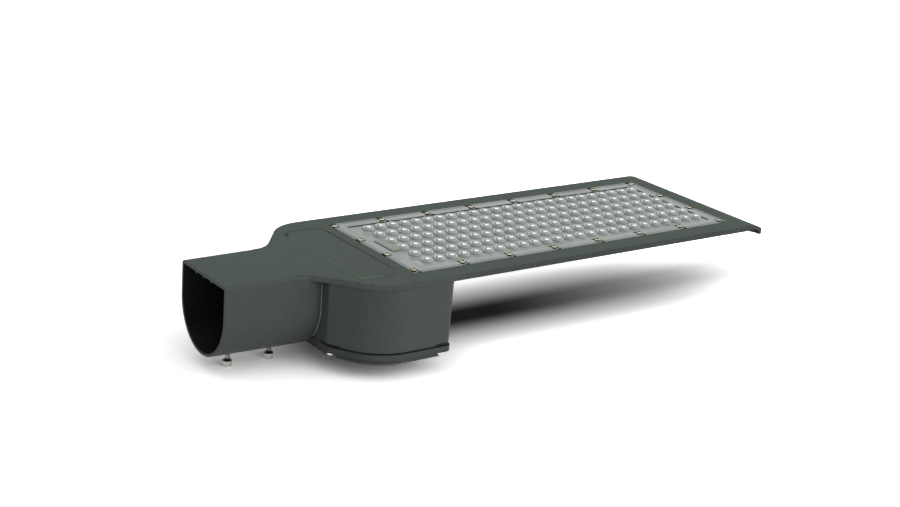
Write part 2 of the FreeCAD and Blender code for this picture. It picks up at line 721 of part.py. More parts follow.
def draw_pan(body):
    """The thick part of the shell that carries the lamps, with its cooling fins."""
    block = new_sketch(body, "pan_outline", "XY_Plane", "face_height")
    draw_rectangle(block, "lens_start - pan_border", "lens_end + pan_border",
                   "-lens_half - pan_border", "lens_half + pan_border")
    pad(body, "pan", block, "pan_depth", reversed_way=True)
    root = PAN_BASE + size("fin_root")
    start = size("box_back") - size("fin_thick")
    level = start + size("fin_level_length")
    end = size("lens_end")
    profile = [
        (start, root), (start, PAN_BASE - size("fin_height")), (level, PAN_BASE - size("fin_height")),
        (end, PAN_BASE - size("fin_end_height")), (end, root),
    ]
    fin = new_sketch(body, "fin_section", "XZ_Plane", "(fin_span + fin_thick) / 2", segments(profile))
    first = pad(body, "fin", fin, "fin_thick", reversed_way=True)
    row = body.newObject("PartDesign::LinearPattern", "fins")
    row.Originals = [first]
    axis = next(item for item in body.Origin.OriginFeatures if item.Role == "Y_Axis")
    row.Direction = (axis, [""])
    row.setExpression("Length", bound("fin_span"))
    row.Occurrences = int(size("fin_count"))
    body.Tip = row
    doc.recompute()


def draw_bosses(body):
    """Bosses for the cover screws, the driver's feet, the earth screw and the clamp bolts."""
    posts = new_sketch(body, "cover_bosses_outline", "XY_Plane", "box_bottom",
                       holes(cover_screw_places(), size("cover_boss_radius"), BOSS_SIDES))
    pad(body, "cover_bosses", posts, "cover_boss_height")
    stands = new_sketch(body, "stands_outline", "XY_Plane", "driver_top",
                        holes(foot_places(), size("stand_radius"), BOSS_SIDES))
    pad(body, "stands", stands, "face_height - top_wall - driver_top")
    earth = new_sketch(body, "earth_outline", "XY_Plane", "face_height - top_wall - earth_boss_height",
                       holes([(size("earth_x"), 0.0)], size("earth_boss_radius"), BOSS_SIDES))
    pad(body, "earth_boss", earth, "earth_boss_height")


def draw_hollows(body):
    """The socket's hollow and passage, and the round holes through the walls."""
    inside = new_sketch(body, "socket_hollow_section", "YZ_Plane", "-2 * mouth_lean", socket_inside())
    pocket(body, "socket_hollow", inside, "tube_stop + 2 * mouth_lean", reversed_way=True)
    room = holes([(0.0, 0.0)], size("pass_radius"), GLAND_SIDES)
    passage = new_sketch(body, "passage_section", "YZ_Plane", "tube_stop", room)
    pocket(body, "passage", passage, "pass_end - tube_stop", reversed_way=True)
    bore = holes([(0.0, 0.0)], size("gland_radius") + size("thread_gap"), GLAND_SIDES)
    gland = new_sketch(body, "gland_section", "YZ_Plane", "pass_end", bore)
    pocket(body, "gland_hole", gland, "box_front + box_wall - pass_end", reversed_way=True)
    bosses = new_sketch(body, "bolt_boss_outline", "XY_Plane", "socket_turn - socket_bowl + socket_wall / 2",
                        holes(bolt_places(), size("bolt_boss_radius"), BOSS_SIDES))
    pad(body, "bolt_bosses", bosses, "socket_wall / 2 + bolt_boss_height")
    bores = holes(bolt_places(), size("bolt_radius") + size("thread_gap"), GLAND_SIDES)
    threads = new_sketch(body, "bolt_hole_outline", "XY_Plane", "socket_turn - socket_bowl - socket_wall",
                         bores)
    pocket(body, "bolt_holes", threads, "3 * socket_wall + bolt_boss_height", reversed_way=True)


def draw_lens_seat(body):
    """The embossed panel, then the lens seat, the gasket's step and the lamp chamber, each deeper."""
    outline = round_rectangle(size("panel_start"), size("panel_end"), -size("panel_half"), size("panel_half"),
                              size("panel_corner"))
    panel = new_sketch(body, "panel_outline", "XY_Plane", "face_height", outline)
    pad(body, "panel", panel, "panel_rise")
    seat = new_sketch(body, "seat_outline", "XY_Plane", "face_height")
    draw_rectangle(seat, "lens_start - lens_gap", "lens_end + lens_gap",
                   "-lens_half - lens_gap", "lens_half + lens_gap")
    pocket(body, "seat", seat, "lens_thick")
    step = new_sketch(body, "gasket_outline", "XY_Plane", "face_height")
    draw_rectangle(step, "chamber_start - gasket_width", "chamber_end + gasket_width",
                   "-chamber_half - gasket_width", "chamber_half + gasket_width")
    pocket(body, "gasket_step", step, "lens_thick + gasket_thick")
    room = new_sketch(body, "chamber_outline", "XY_Plane", "face_height")
    draw_rectangle(room, "chamber_start", "chamber_end", "-chamber_half", "chamber_half")
    pocket(body, "chamber", room, "chamber_depth")
    bore = holes([(size("plug_centre"), 0.0)], size("grommet_radius"), GLAND_SIDES)
    duct = new_sketch(body, "duct_outline", "XY_Plane", "face_height", bore)
    pocket(body, "duct", duct, "pan_depth")


def draw_threads(body):
    """Blind threaded holes for the small screws."""
    gap = size("thread_gap")
    lens = holes(lens_screw_places(), size("screw_radius") + gap, SHANK_SIDES)
    outline = new_sketch(body, "lens_threads_outline", "XY_Plane", "face_height", lens)
    pocket(body, "lens_threads", outline, "notch_depth + lens_screw_length + hole_spare")
    board = holes(board_screw_places(), size("screw_radius") + gap, SHANK_SIDES)
    outline = new_sketch(body, "board_threads_outline", "XY_Plane", "face_height - chamber_depth", board)
    pocket(body, "board_threads", outline, "board_screw_length - board_thick + hole_spare")
    cover = holes(cover_screw_places(), size("cover_screw_radius") + gap, SHANK_SIDES)
    outline = new_sketch(body, "cover_threads_outline", "XY_Plane", "box_bottom", cover)
    pocket(body, "cover_threads", outline, "cover_screw_length - cover_rim + hole_spare", reversed_way=True)
    feet = holes(foot_places(), size("screw_radius") + gap, SHANK_SIDES)
    outline = new_sketch(body, "foot_threads_outline", "XY_Plane", "driver_top", feet)
    pocket(body, "foot_threads", outline, "foot_screw_length - foot_thick + hole_spare", reversed_way=True)
    earth = holes([(size("earth_x"), 0.0)], size("screw_radius") + gap, SHANK_SIDES)
    outline = new_sketch(body, "earth_thread_outline", "XY_Plane",
                         "face_height - top_wall - earth_boss_height", earth)
    pocket(body, "earth_thread", outline, "earth_screw_length - washer_thick + hole_spare", reversed_way=True)


def make_housing():
    body = new_body("housing")
    for step in (draw_shell, draw_socket, draw_box, draw_pan, draw_end, draw_bosses, draw_hollows,
                 draw_lens_seat, draw_threads):
        step(body)
    return body


# Lens plate and lamps

def notch_shapes():
    """Notches from the lens plate's edge to each screw, with bevelled inner ends."""
    half = size("notch_half")
    pieces = []
    for x, y in lens_screw_places():
        if abs(y) < size("screw_line") - half:
            way = Vector(math.copysign(1, x - value_of("(lens_start + lens_end) / 2")), 0, 0)
            reach = size("end_screw_inset")
        else:
            way = Vector(0, math.copysign(1, y), 0)
            reach = size("lens_half") - size("screw_line")
        across = Vector(-way.y, way.x, 0)
        screw_point = Vector(x, y, NOTCH_FLOOR)
        outline = [
            screw_point + way * (reach + half) + across * half, screw_point + across * half,
            screw_point - way * half + across * (half / 2), screw_point - way * half - across * (half / 2),
            screw_point - across * half, screw_point + way * (reach + half) - across * half,
        ]
        pieces.append(Part.Face(Part.makePolygon(outline + outline[:1])).extrude(Vector(0, 0, half)))
    return pieces


def faceted(*rings):
    """A solid through like polygons, with flat sides."""
    faces = [Part.Face(Part.makePolygon(ring + ring[:1])) for ring in (rings[0], rings[-1])]
    for low_ring, high_ring in zip(rings, rings[1:]):
        following = low_ring[1:] + low_ring[:1]
        above = high_ring[1:] + high_ring[:1]
        for low, next_low, high, next_high in zip(low_ring, following, high_ring, above):
            faces.append(Part.Face(Part.makePolygon([low, next_low, next_high, high, low])))
    solid = Part.Solid(Part.Shell(faces))
    return solid if solid.Volume > 0 else solid.reversed()


def lens_dome(x, y):
    """One lens: a faceted dome with a flat top."""
    foot = FACE - size("lens_field_drop")
    rings = []
    for scale, rise in ((1.0, 0.0), (size("dome_top_scale"), size("dome_height"))):
        length = scale * size("dome_half_length")
        width = scale * size("dome_half_width")
        corners = polygon(0, 0, 1, DOME_SIDES)
        rings.append([Vector(x + length * u, y + width * v, foot + rise) for u, v in corners])
    return faceted(*rings)


def make_lens_plate():
    blank = new_body("lens_blank")
    plate = new_sketch(blank, "lens_outline", "XY_Plane", "face_height - lens_thick")
    draw_rectangle(plate, "lens_start", "lens_end", "-lens_half", "lens_half")
    pad(blank, "lens_rim", plate, "lens_thick")
    field = new_sketch(blank, "field_outline", "XY_Plane", "face_height")
    draw_rectangle(field, "lens_start + lens_field_inset", "lens_end - lens_field_inset",
                   "-lens_half + lens_field_inset", "lens_half - lens_field_inset")
    pocket(blank, "field", field, "lens_field_drop")
    hood = new_sketch(blank, "hood_outline", "XY_Plane", "face_height - lens_thick")
    draw_rectangle(hood, "plug_centre - hood_half_length", "plug_centre + hood_half_length",
                   "-hood_half_width", "hood_half_width")
    pad(blank, "hood", hood, "lens_thick + hood_rise")
    room = new_sketch(blank, "hood_room_outline", "XY_Plane", "face_height - lens_thick")
    draw_rectangle(room, "plug_centre - hood_half_length + hood_wall",
                   "plug_centre + hood_half_length - hood_wall",
                   "-hood_half_width + hood_wall", "hood_half_width - hood_wall")
    pocket(blank, "hood_room", room, "lens_thick + hood_rise - hood_wall", reversed_way=True)
    plain = holes(lens_screw_places(), size("screw_radius") + size("hole_gap"), SHANK_SIDES)
    outline = new_sketch(blank, "lens_holes_outline", "XY_Plane", "face_height", plain)
    pocket(blank, "lens_holes", outline, "lens_thick")
    domes = [lens_dome(x, y) for x, y in lamp_places()]
    return add_shape("lens_plate", blank.Shape.cut(notch_shapes()).fuse(domes))


def make_gasket():
    body = new_body("lens_gasket")
    ring = new_sketch(body, "gasket_ring", "XY_Plane", "face_height - lens_thick - gasket_thick")
    draw_rectangle(ring, "chamber_start - gasket_width", "chamber_end + gasket_width",
                   "-chamber_half - gasket_width", "chamber_half + gasket_width")
    draw_rectangle(ring, "chamber_start", "chamber_end", "-chamber_half", "chamber_half")
    pad(body, "gasket", ring, "gasket_thick")
    return body


def make_board():
    body = new_body("led_board")
    outline = new_sketch(body, "board_outline", "XY_Plane", "face_height - chamber_depth")
    draw_rectangle(outline, "chamber_start + board_gap", "chamber_end - board_gap",
                   "-chamber_half + board_gap", "chamber_half - board_gap")
    pad(body, "board", outline, "board_thick")
    plain = holes(board_screw_places(), size("screw_radius") + size("hole_gap"), SHANK_SIDES)
    plain += holes([(size("plug_centre"), 0.0)], size("lead_radius") + size("hole_gap"), GLAND_SIDES)
    pierced = new_sketch(body, "board_holes_outline", "XY_Plane", "face_height - chamber_depth + board_thick",
                         plain)
    pocket(body, "board_holes", pierced, "board_thick")
    return body


def make_chips():
    """One lamp chip under each lens."""
    half = size("chip_half")
    base = BOARD_TOP
    chips = [
        Part.makeBox(2 * half, 2 * half, size("chip_height"), Vector(x - half, y - half, base))
        for x, y in lamp_places()
    ]
    return add_shape("led_chips", Part.makeCompound(chips))


def make_board_connector():
    body = new_body("board_connector")
    outline = new_sketch(body, "plug_outline", "XY_Plane", "face_height - chamber_depth + board_thick")
    draw_rectangle(outline, "plug_centre - plug_half_length", "plug_centre + plug_half_length",
                   "-plug_half_width", "plug_half_width")
    pad(body, "plug", outline, "plug_height")
    slots = new_sketch(body, "plug_slots_outline", "XY_Plane",
                       "face_height - chamber_depth + board_thick + plug_height")
    for low, high in (("-slot_far", "-slot_near"), ("slot_near", "slot_far")):
        draw_rectangle(slots, "plug_centre - slot_half", "plug_centre + slot_half", low, high)
    pocket(body, "plug_slots", slots, "slot_depth")
    return body


# Screws and bolts

def make_screws(label, places, seat, way, name):
    """A group of like screws; name gives their length in the sheet."""
    return add_shape(label, Part.makeCompound([screw(x, y, seat, way, name) for x, y in places]))


def make_clamp_bolts():
    """Cap-head bolts that come up through the socket's bottom to the arm."""
    tip = size("bolt_tip_height")
    seat = tip - size("bolt_length")
    base = seat - size("bolt_head_height")
    shapes = []
    for x, y in bolt_places():
        shank = prism(x, y, size("bolt_radius"), GLAND_SIDES, seat, tip)
        head = prism(x, y, size("bolt_head_radius"), GLAND_SIDES, base, seat)
        key = prism(x, y, size("bolt_key_radius"), HEXAGON, base, base + size("bolt_key_depth"))
        shapes.append(head.fuse(shank).cut(key))
    return add_shape("clamp_bolts", Part.makeCompound(shapes))


# Cover of the driver box

def cover_outline(inset):
    return box_outline("low", inset, max(inset, 0.0) + size("cover_front_gap"))


def make_cover():
    """A tray with a raised middle, which leaves a flat ring around each screw."""
    body = new_body("driver_cover")
    rim = cover_outline(-size("cover_proud"))
    outline = new_sketch(body, "cover_outline", "XY_Plane", "box_bottom", rim)
    pad(body, "cover_rim", outline, "cover_rim", reversed_way=True)
    step = cover_outline(size("cover_step_inset"))
    middle = new_sketch(body, "cover_step_outline", "XY_Plane", "box_bottom - cover_rim", step)
    pad(body, "cover_step", middle, "cover_step", reversed_way=True)
    clear = holes(cover_screw_places(), size("cover_screw_clear"), GLAND_SIDES)
    rings = new_sketch(body, "cover_rings_outline", "XY_Plane", "box_bottom - cover_rim", clear)
    pocket(body, "cover_rings", rings, "cover_step")
    land = cover_outline(size("cover_land"))
    inside = new_sketch(body, "cover_room_outline", "XY_Plane", "box_bottom", land)
    pocket(body, "cover_room", inside, "cover_rim - cover_wall")
    seal = cover_outline(size("seal_inset"))
    rebate = new_sketch(body, "seal_rebate_outline", "XY_Plane", "box_bottom", seal)
    pocket(body, "seal_rebate", rebate, "seal_thick")
    bores = holes(cover_screw_places(), size("cover_screw_radius") + size("hole_gap"), SHANK_SIDES)
    screws = new_sketch(body, "cover_holes_outline", "XY_Plane", "box_bottom", bores)
    pocket(body, "cover_holes", screws, "cover_rim")
    return body


def make_cover_seal():
    """A flat ring in the cover's rebate, pierced by the screws."""
    body = new_body("cover_seal")
    rings = cover_outline(size("seal_inset")) + cover_outline(size("cover_land"))
    outline = new_sketch(body, "seal_outline", "XY_Plane", "box_bottom", rings)
    pad(body, "seal", outline, "seal_thick", reversed_way=True)
    bores = holes(cover_screw_places(), size("cover_screw_radius") + size("hole_gap"), SHANK_SIDES)
    screws = new_sketch(body, "seal_holes_outline", "XY_Plane", "box_bottom", bores)
    pocket(body, "seal_holes", screws, "seal_thick")
    return body


# Inside the driver box

def make_driver():
    """The driver's case, with a flat foot at each end."""
    body = new_body("led_driver")
    left = size("driver_start")
    right = left + size("driver_width")
    top = size("driver_top")
    base = top - size("driver_height")
    bevel = size("driver_round")
    section = [(left, top), (left, base + bevel), (left + bevel, base), (right - bevel, base),
               (right, base + bevel), (right, top)]
    case = new_sketch(body, "case_section", "XZ_Plane", "0", segments(section))
    pad(body, "case", case, "2 * driver_half", midplane=True)
    feet = new_sketch(body, "feet_outline", "XY_Plane", "driver_top")
    draw_rectangle(feet, "driver_start + driver_round", "driver_start + driver_width - driver_round",
                   "-driver_half - foot_length", "driver_half + foot_length")
    pad(body, "feet", feet, "foot_thick", reversed_way=True)
    bores = holes(foot_places(), size("screw_radius") + size("hole_gap"), SHANK_SIDES)
    screws = new_sketch(body, "feet_holes_outline", "XY_Plane", "driver_top", bores)
    pocket(body, "feet_holes", screws, "foot_thick")
    return body


def make_terminal_block():
    """Three wire entries on the side that faces the gland's cable, three on the driver's side."""
    body = new_body("terminal_block")
    outline = new_sketch(body, "terminal_outline", "XY_Plane", "face_height - top_wall")
    draw_rectangle(outline, "block_start", "block_start + block_length", "-block_far", "-block_near")
    pad(body, "terminal", outline, "terminal_height", reversed_way=True)
    cells = int(size("terminal_cells"))
    pitch = (size("block_far") - size("block_near")) / cells
    level = CEILING - size("terminal_height") / 2
    centres = [(-size("block_far") + pitch * (i + 0.5), level) for i in range(cells)]
    entries = holes(centres, size("cell_radius"), SHANK_SIDES)
    front = new_sketch(body, "entries_outline", "YZ_Plane", "block_start", entries)
    pocket(body, "entries", front, "cell_depth", reversed_way=True)
    places = [(size("block_start") + size("block_length") / 2, y) for y, z in centres]
    keys = holes(places, size("cell_radius"), SHANK_SIDES)
    low = new_sketch(body, "keys_outline", "XY_Plane", "face_height - top_wall - terminal_height", keys)
    pocket(body, "keys", low, "cell_radius * 2", reversed_way=True)
    return body


def make_surge_protector():
    body = new_body("surge_protector")
    bevel = size("driver_round")
    start = size("block_start")
    end = start + size("block_length")
    near = size("block_near")
    far = size("block_far")
    section = [
        (start + bevel, near), (end - bevel, near), (end, near + bevel), (end, far - bevel),
        (end - bevel, far), (start + bevel, far), (start, far - bevel), (start, near + bevel),
    ]
    outline = new_sketch(body, "surge_outline", "XY_Plane", "face_height - top_wall", segments(section))
    pad(body, "surge", outline, "surge_height", reversed_way=True)
    return body


def make_earth_screw():
    seat = CEILING - size("earth_boss_height") - size("washer_thick")
    return add_shape("earth_screw", screw(size("earth_x"), 0.0, seat, -1, "earth_screw"))


def make_earth_washer():
    low = CEILING - size("earth_boss_height") - size("washer_thick")
    bore_radius = size("screw_radius") + size("hole_gap")
    return add_shape("earth_washer", ring(size("earth_x"), size("washer_radius"), bore_radius, HEAD_SIDES,
                                          low, low + size("washer_thick")))


# Cable gland in the passage behind the socket

def along_x(shape, x):
    """Stands a shape that was made along z at x on the arm axis."""
    shape.Placement = Placement(Vector(x, 0, 0), Rotation(Vector(0, 1, 0), 90))
    return shape


def make_gland_body():
    wall = size("box_front") + size("box_wall") - size("pass_end")
    radius = size("gland_radius")
    flange = size("gland_flange")
    inner = ring(0, radius, size("gland_bore"), GLAND_SIDES, 0.0, wall + size("gland_inside"))
    bore = prism(0, 0, size("gland_bore"), GLAND_SIDES, -flange, 0.0)
    hexagon = prism(0, 0, size("gland_hex"), HEXAGON, -flange, 0.0).cut(bore)
    nose = ring(0, radius, size("gland_seal_radius"), GLAND_SIDES, -flange - size("gland_outside"), -flange)
    return add_shape("gland_body", along_x(inner.fuse([hexagon, nose]).removeSplitter(), size("pass_end")))


def make_gland_nut():
    low = size("box_front") + size("box_wall") - size("pass_end")
    high = low + size("gland_nut")
    bore = prism(0, 0, size("gland_radius") + size("thread_gap"), GLAND_SIDES, low, high)
    return add_shape("gland_nut", along_x(prism(0, 0, size("gland_hex"), HEXAGON, low, high).cut(bore),
                                          size("pass_end")))


def make_gland_cap():
    """The cap that squeezes the rubber insert, with a bevelled nose."""
    high = -size("gland_flange")
    low = high - size("gland_cap")
    room = high - size("gland_outside")
    bevel = size("gland_cap_radius") - size("gland_radius")
    rings = []
    for radius, level in ((size("gland_radius"), low), (size("gland_cap_radius"), low + bevel)):
        rings.append([Vector(u, v, level) for u, v in polygon(0, 0, radius, GLAND_SIDES)])
    nose = faceted(*rings)
    barrel = prism(0, 0, size("gland_cap_radius"), GLAND_SIDES, low + bevel, high)
    mouth = prism(0, 0, size("gland_bore") + size("hole_gap"), GLAND_SIDES, low, high)
    inside = prism(0, 0, size("gland_radius") + size("thread_gap"), GLAND_SIDES, room, high)
    shape = barrel.fuse(nose).removeSplitter().cut([mouth, inside])
    return add_shape("gland_cap", along_x(shape, size("pass_end")))


def make_gland_seal():
    high = -size("gland_flange")
    shape = ring(0, size("gland_seal_radius") - size("slip"), size("gland_bore"), GLAND_SIDES,
                 high - size("gland_outside"), high)
    return add_shape("gland_seal", along_x(shape, size("pass_end")))


# Leads held inside the driver box

def lead_path(points):
    """The route with each corner rounded by chords, each bend as large as its two runs allow."""
    path = [points[0]]
    for before, corner, after in zip(points, points[1:], points[2:]):
        way_in = (corner - before).normalize()
        way_out = (after - corner).normalize()
        half_turn = way_in.getAngle(way_out) / 2
        run = RUN_SHARE * min((corner - before).Length, (after - corner).Length)
        radius = run / math.tan(half_turn)
        print("lead bend radius %.1f" % radius)
        centre = corner + (way_out - way_in).normalize() * (radius / math.cos(half_turn))
        spoke = corner - way_in * run - centre
        chord_turn = math.degrees(2 * half_turn) / BEND_CHORDS
        for i in range(BEND_CHORDS + 1):
            path.append(centre + Rotation(way_in.cross(way_out), chord_turn * i).multVec(spoke))
    return path + points[-1:]


def make_lead(label, points):
    """A many-sided tube along the route, mitred where its chords meet."""
    path = lead_path(points)
    ways = [(after - before).normalize() for before, after in zip(path, path[1:])]
    upright = Rotation(Vector(0, 0, 1), ways[0])
    corners = polygon(0, 0, size("lead_radius"), LEAD_SIDES)
    rings = [[path[0] + upright.multVec(Vector(u, v, 0)) for u, v in corners]]
    for point, way, next_way in zip(path[1:], ways, ways[1:] + ways[-1:]):
        mitre = way + next_way
        rings.append([place + way * ((point - place).dot(mitre) / way.dot(mitre)) for place in rings[-1]])
    shape = faceted(*rings)
    length = sum((after - before).Length for before, after in zip(path, path[1:]))
    expected = Part.Face(Part.makePolygon(rings[0] + rings[0][:1])).Area * length
    print("%s: %.0f of %.0f cubic millimetres, %.0f long" % (label, shape.Volume, expected, length))
    return add_shape(label, shape)


def output_route():
    """From the driver's far end, round it, along the back wall and up to the lamp board."""
    x = size("output_exit")
    y = size("driver_half")
    z = size("lead_height")
    duct = size("plug_centre")
    reach = size("output_reach")
    return [
        Vector(x, y, z), Vector(x, y + reach, z), Vector(duct, y + reach, z),
        Vector(duct - size("output_sway"), y / 2, z), Vector(duct, size("lead_rise"), z),
        Vector(duct, 0, z + size("lead_rise")), Vector(duct, 0, BOARD_TOP),
    ]


def input_route():
    """From the driver's near end, round its corner to the terminal block."""
    x = size("input_exit")
    y = -size("driver_half")
    z = size("lead_height")
    end_x = size("block_start") + size("entry_line")
    end_y = -size("block_far")
    end_z = CEILING - size("terminal_height") / 2
    rise = end_z - z
    run = size("input_run")
    return [
        Vector(x, y, z), Vector(x, y - run, z), Vector(x - run, y - size("input_sway"), z),
        Vector(end_x + run, y - run, z + rise / 2), Vector(end_x, y + run / 2, end_z),
        Vector(end_x, end_y, end_z),
    ]


def make_grommet():
    """Rubber grommet in the duct to the lamp chamber."""
    x = size("plug_centre")
    bore = (size("lead_radius") + size("slip")) / math.cos(math.pi / GLAND_SIDES)
    lip_low = PAN_BASE - size("grommet_lip")
    neck = ring(x, size("grommet_radius"), bore, GLAND_SIDES, PAN_BASE, FLOOR)
    lip = ring(x, size("grommet_flange"), bore, GLAND_SIDES, lip_low, PAN_BASE)
    return add_shape("lead_grommet", neck.fuse(lip).removeSplitter())


def make_parts():
    feet = size("driver_top") - size("foot_thick")
    return [
        make_housing(),
        make_lens_plate(),
        make_gasket(),
        make_board(),
        make_chips(),
        make_board_connector(),
        make_screws("board_screws", board_screw_places(), BOARD_TOP, 1, "board_screw"),
        make_screws("lens_screws", lens_screw_places(), NOTCH_FLOOR, 1, "lens_screw"),
        make_cover(),
        make_cover_seal(),
        make_screws("cover_screws", cover_screw_places(), COVER_FACE, -1, "cover_screw"),
        make_driver(),
        make_screws("driver_screws", foot_places(), feet, -1, "foot_screw"),
        make_terminal_block(),
        make_surge_protector(),
        make_earth_screw(),
        make_earth_washer(),
        make_gland_body(),
        make_gland_nut(),
        make_gland_cap(),
        make_gland_seal(),
        make_clamp_bolts(),
        make_lead("output_lead", output_route()),
        make_lead("input_lead", input_route()),
        make_grommet(),
    ]


def check(parts):
    """Every object must have been made, and every part must be a sound solid or group of solids."""
    doc.recompute()
    for item in doc.Objects:
        if "Invalid" in item.State or "Error" in item.State:
            raise RuntimeError("%s failed: %s" % (item.Name, item.State))
    for part in parts:
        if part.Shape.isNull() or not part.Shape.isValid() or not part.Shape.Solids:
            raise RuntimeError("%s has no sound shape" % part.Label)


PARTS = make_parts()
check(PARTS)
os.makedirs("parts", exist_ok=True)
for part in PARTS:
    part.Shape.exportStep("parts/%s.step" % part.Label)
    print("%s: %d solids, %.0f cubic millimetres" % (part.Label, len(part.Shape.Solids), part.Shape.Volume))
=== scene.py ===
import math

import bmesh
import bpy
from mathutils import Matrix, Vector


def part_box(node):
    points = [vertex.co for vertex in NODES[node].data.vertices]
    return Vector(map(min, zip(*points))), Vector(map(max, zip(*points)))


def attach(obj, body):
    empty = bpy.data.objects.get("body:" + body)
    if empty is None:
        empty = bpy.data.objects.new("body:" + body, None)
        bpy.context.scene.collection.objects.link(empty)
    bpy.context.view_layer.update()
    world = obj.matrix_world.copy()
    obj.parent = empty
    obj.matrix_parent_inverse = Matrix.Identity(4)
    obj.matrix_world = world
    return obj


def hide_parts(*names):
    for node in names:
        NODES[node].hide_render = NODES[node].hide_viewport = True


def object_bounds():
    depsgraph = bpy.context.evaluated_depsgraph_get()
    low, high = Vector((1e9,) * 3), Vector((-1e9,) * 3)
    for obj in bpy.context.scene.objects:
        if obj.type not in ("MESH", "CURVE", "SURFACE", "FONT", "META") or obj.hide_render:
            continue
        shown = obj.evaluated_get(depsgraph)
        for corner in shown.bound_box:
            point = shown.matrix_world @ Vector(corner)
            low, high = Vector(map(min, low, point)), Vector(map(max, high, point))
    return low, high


# LED street light head, seen with its light side up. Lengths are in metres.

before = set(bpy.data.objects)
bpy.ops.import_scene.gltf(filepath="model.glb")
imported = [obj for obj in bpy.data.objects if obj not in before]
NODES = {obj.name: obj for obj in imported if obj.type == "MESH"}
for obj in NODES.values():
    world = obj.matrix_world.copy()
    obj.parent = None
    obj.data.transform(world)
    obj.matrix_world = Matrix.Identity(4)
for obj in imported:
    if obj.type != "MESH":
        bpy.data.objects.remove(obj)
CAD_LOW, CAD_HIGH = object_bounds()
MM = 0.001
SAME_PLACE = 0.002 * MM

# Places and sizes that the looks need, as on the real head
LENS_LOW, LENS_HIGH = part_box("lens_plate")
CHIPS_LOW, CHIPS_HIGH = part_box("led_chips")
COVER_LOW, COVER_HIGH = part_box("driver_cover")
BOLTS_LOW, BOLTS_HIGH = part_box("clamp_bolts")

# Levels of the light side, and the grid of lamps under it
FACE = 35.0 * MM
FIELD = FACE - 0.8 * MM
BAND = FACE + 0.1 * MM
COLUMNS = 25
ROWS = 6
CHIP = 3.5 * MM
COLUMN_FIRST = CHIPS_LOW.x + CHIP / 2
COLUMN_PITCH = (CHIPS_HIGH.x - CHIPS_LOW.x - CHIP) / (COLUMNS - 1)
ROW_FIRST = CHIPS_LOW.y + CHIP / 2
ROW_PITCH = (CHIPS_HIGH.y - CHIPS_LOW.y - CHIP) / (ROWS - 1)
DOME_LENGTH = 6.2 * MM
DOME_WIDTH = 7.4 * MM

# The raised panel on the neck
PANEL_MIDDLE = 146.15 * MM
PANEL_HALF_LENGTH = 21.85 * MM
PANEL_HALF_WIDTH = 74.0 * MM
PANEL_CORNER = 10.0 * MM

# The hood over the lamp board's plug
HOOD_MIDDLE = 200.5 * MM
HOOD_HALF_LENGTH = 5.5 * MM
HOOD_HALF_WIDTH = 16.4 * MM
HOOD_TOP = 36.0 * MM

# The arm socket, and how its last stretch is drawn in towards the mouth
SOCKET_HALF = 44.4 * MM
SOCKET_INNER_HALF = SOCKET_HALF - 2.6 * MM
MOUTH_TAPER = 28.0 * MM
MOUTH_LEAN = 0.055
MOUTH_NARROW = 0.02
MOUTH_RAISE = 0.04

# The driver box: its front wall, its joint with the cover, and the cover's lower lip
BOX_FRONT = 100.5 * MM
JOINT = -33.0 * MM
RIM_LOW = -39.8 * MM
COVER_LIP_START = RIM_LOW - 1.2 * MM
COVER_LIP_ALONG = 2.5 * MM
COVER_LIP_ACROSS = 3.0 * MM
COVER_LIP_DROP = 1.6 * MM
PAD_HEIGHT = 1.6 * MM

BOLT_HEAD = 6.0 * MM
BOLT_SEAT = BOLTS_LOW.z + BOLT_HEAD

PLASTIC_IOR = 1.49
PAINT_SPECULAR = 0.12

CAMERA_PLACE = Vector((-0.6784, -1.3096, 0.5613))
CAMERA_RIGHT = Vector((0.8190083, -0.56989428, 0.06667763))
CAMERA_DOWN = Vector((-0.13062892, -0.29835043, -0.94547507))
CAMERA_LENS = 67.65


# Shader maths written as Python

class Signal:
    """A node's output that adds the nodes of an expression as it is used in one."""

    def __init__(self, finish, socket):
        self.finish = finish
        self.socket = socket

    def maths(self, operation, *values):
        return self.finish.node("ShaderNodeMath", {"operation": operation}, *values)

    def __add__(self, other):
        return self.maths("ADD", self, other)

    def __radd__(self, other):
        return self.maths("ADD", other, self)

    def __sub__(self, other):
        return self.maths("SUBTRACT", self, other)

    def __rsub__(self, other):
        return self.maths("SUBTRACT", other, self)

    def __mul__(self, other):
        return self.maths("MULTIPLY", self, other)

    def __rmul__(self, other):
        return self.maths("MULTIPLY", other, self)

    def __truediv__(self, other):
        return self.maths("DIVIDE", self, other)

    def power(self, exponent):
        return self.maths("POWER", self, exponent)

    def rounded(self):
        return self.maths("ROUND", self)

    def least(self, other):
        return self.maths("MINIMUM", self, other)

    def most(self, other):
        return self.maths("MAXIMUM", self, other)

    def size(self):
        return self.maths("ABSOLUTE", self)

    def root(self):
        return self.maths("SQRT", self)

    def step(self, low, high):
        """0 below low, 1 above high, smooth between."""
        settings = {"interpolation_type": "SMOOTHSTEP", "clamp": True}
        return self.finish.node("ShaderNodeMapRange", settings, self, low, high, 0.0, 1.0)

    def fall(self, low, high):
        """1 below low, 0 above high, smooth between."""
        return 1 - self.step(low, high)

    def within(self, low, full, fade, high):
        """1 from full to fade, 0 below low and above high, smooth between."""
        return self.step(low, full) * self.fall(fade, high)


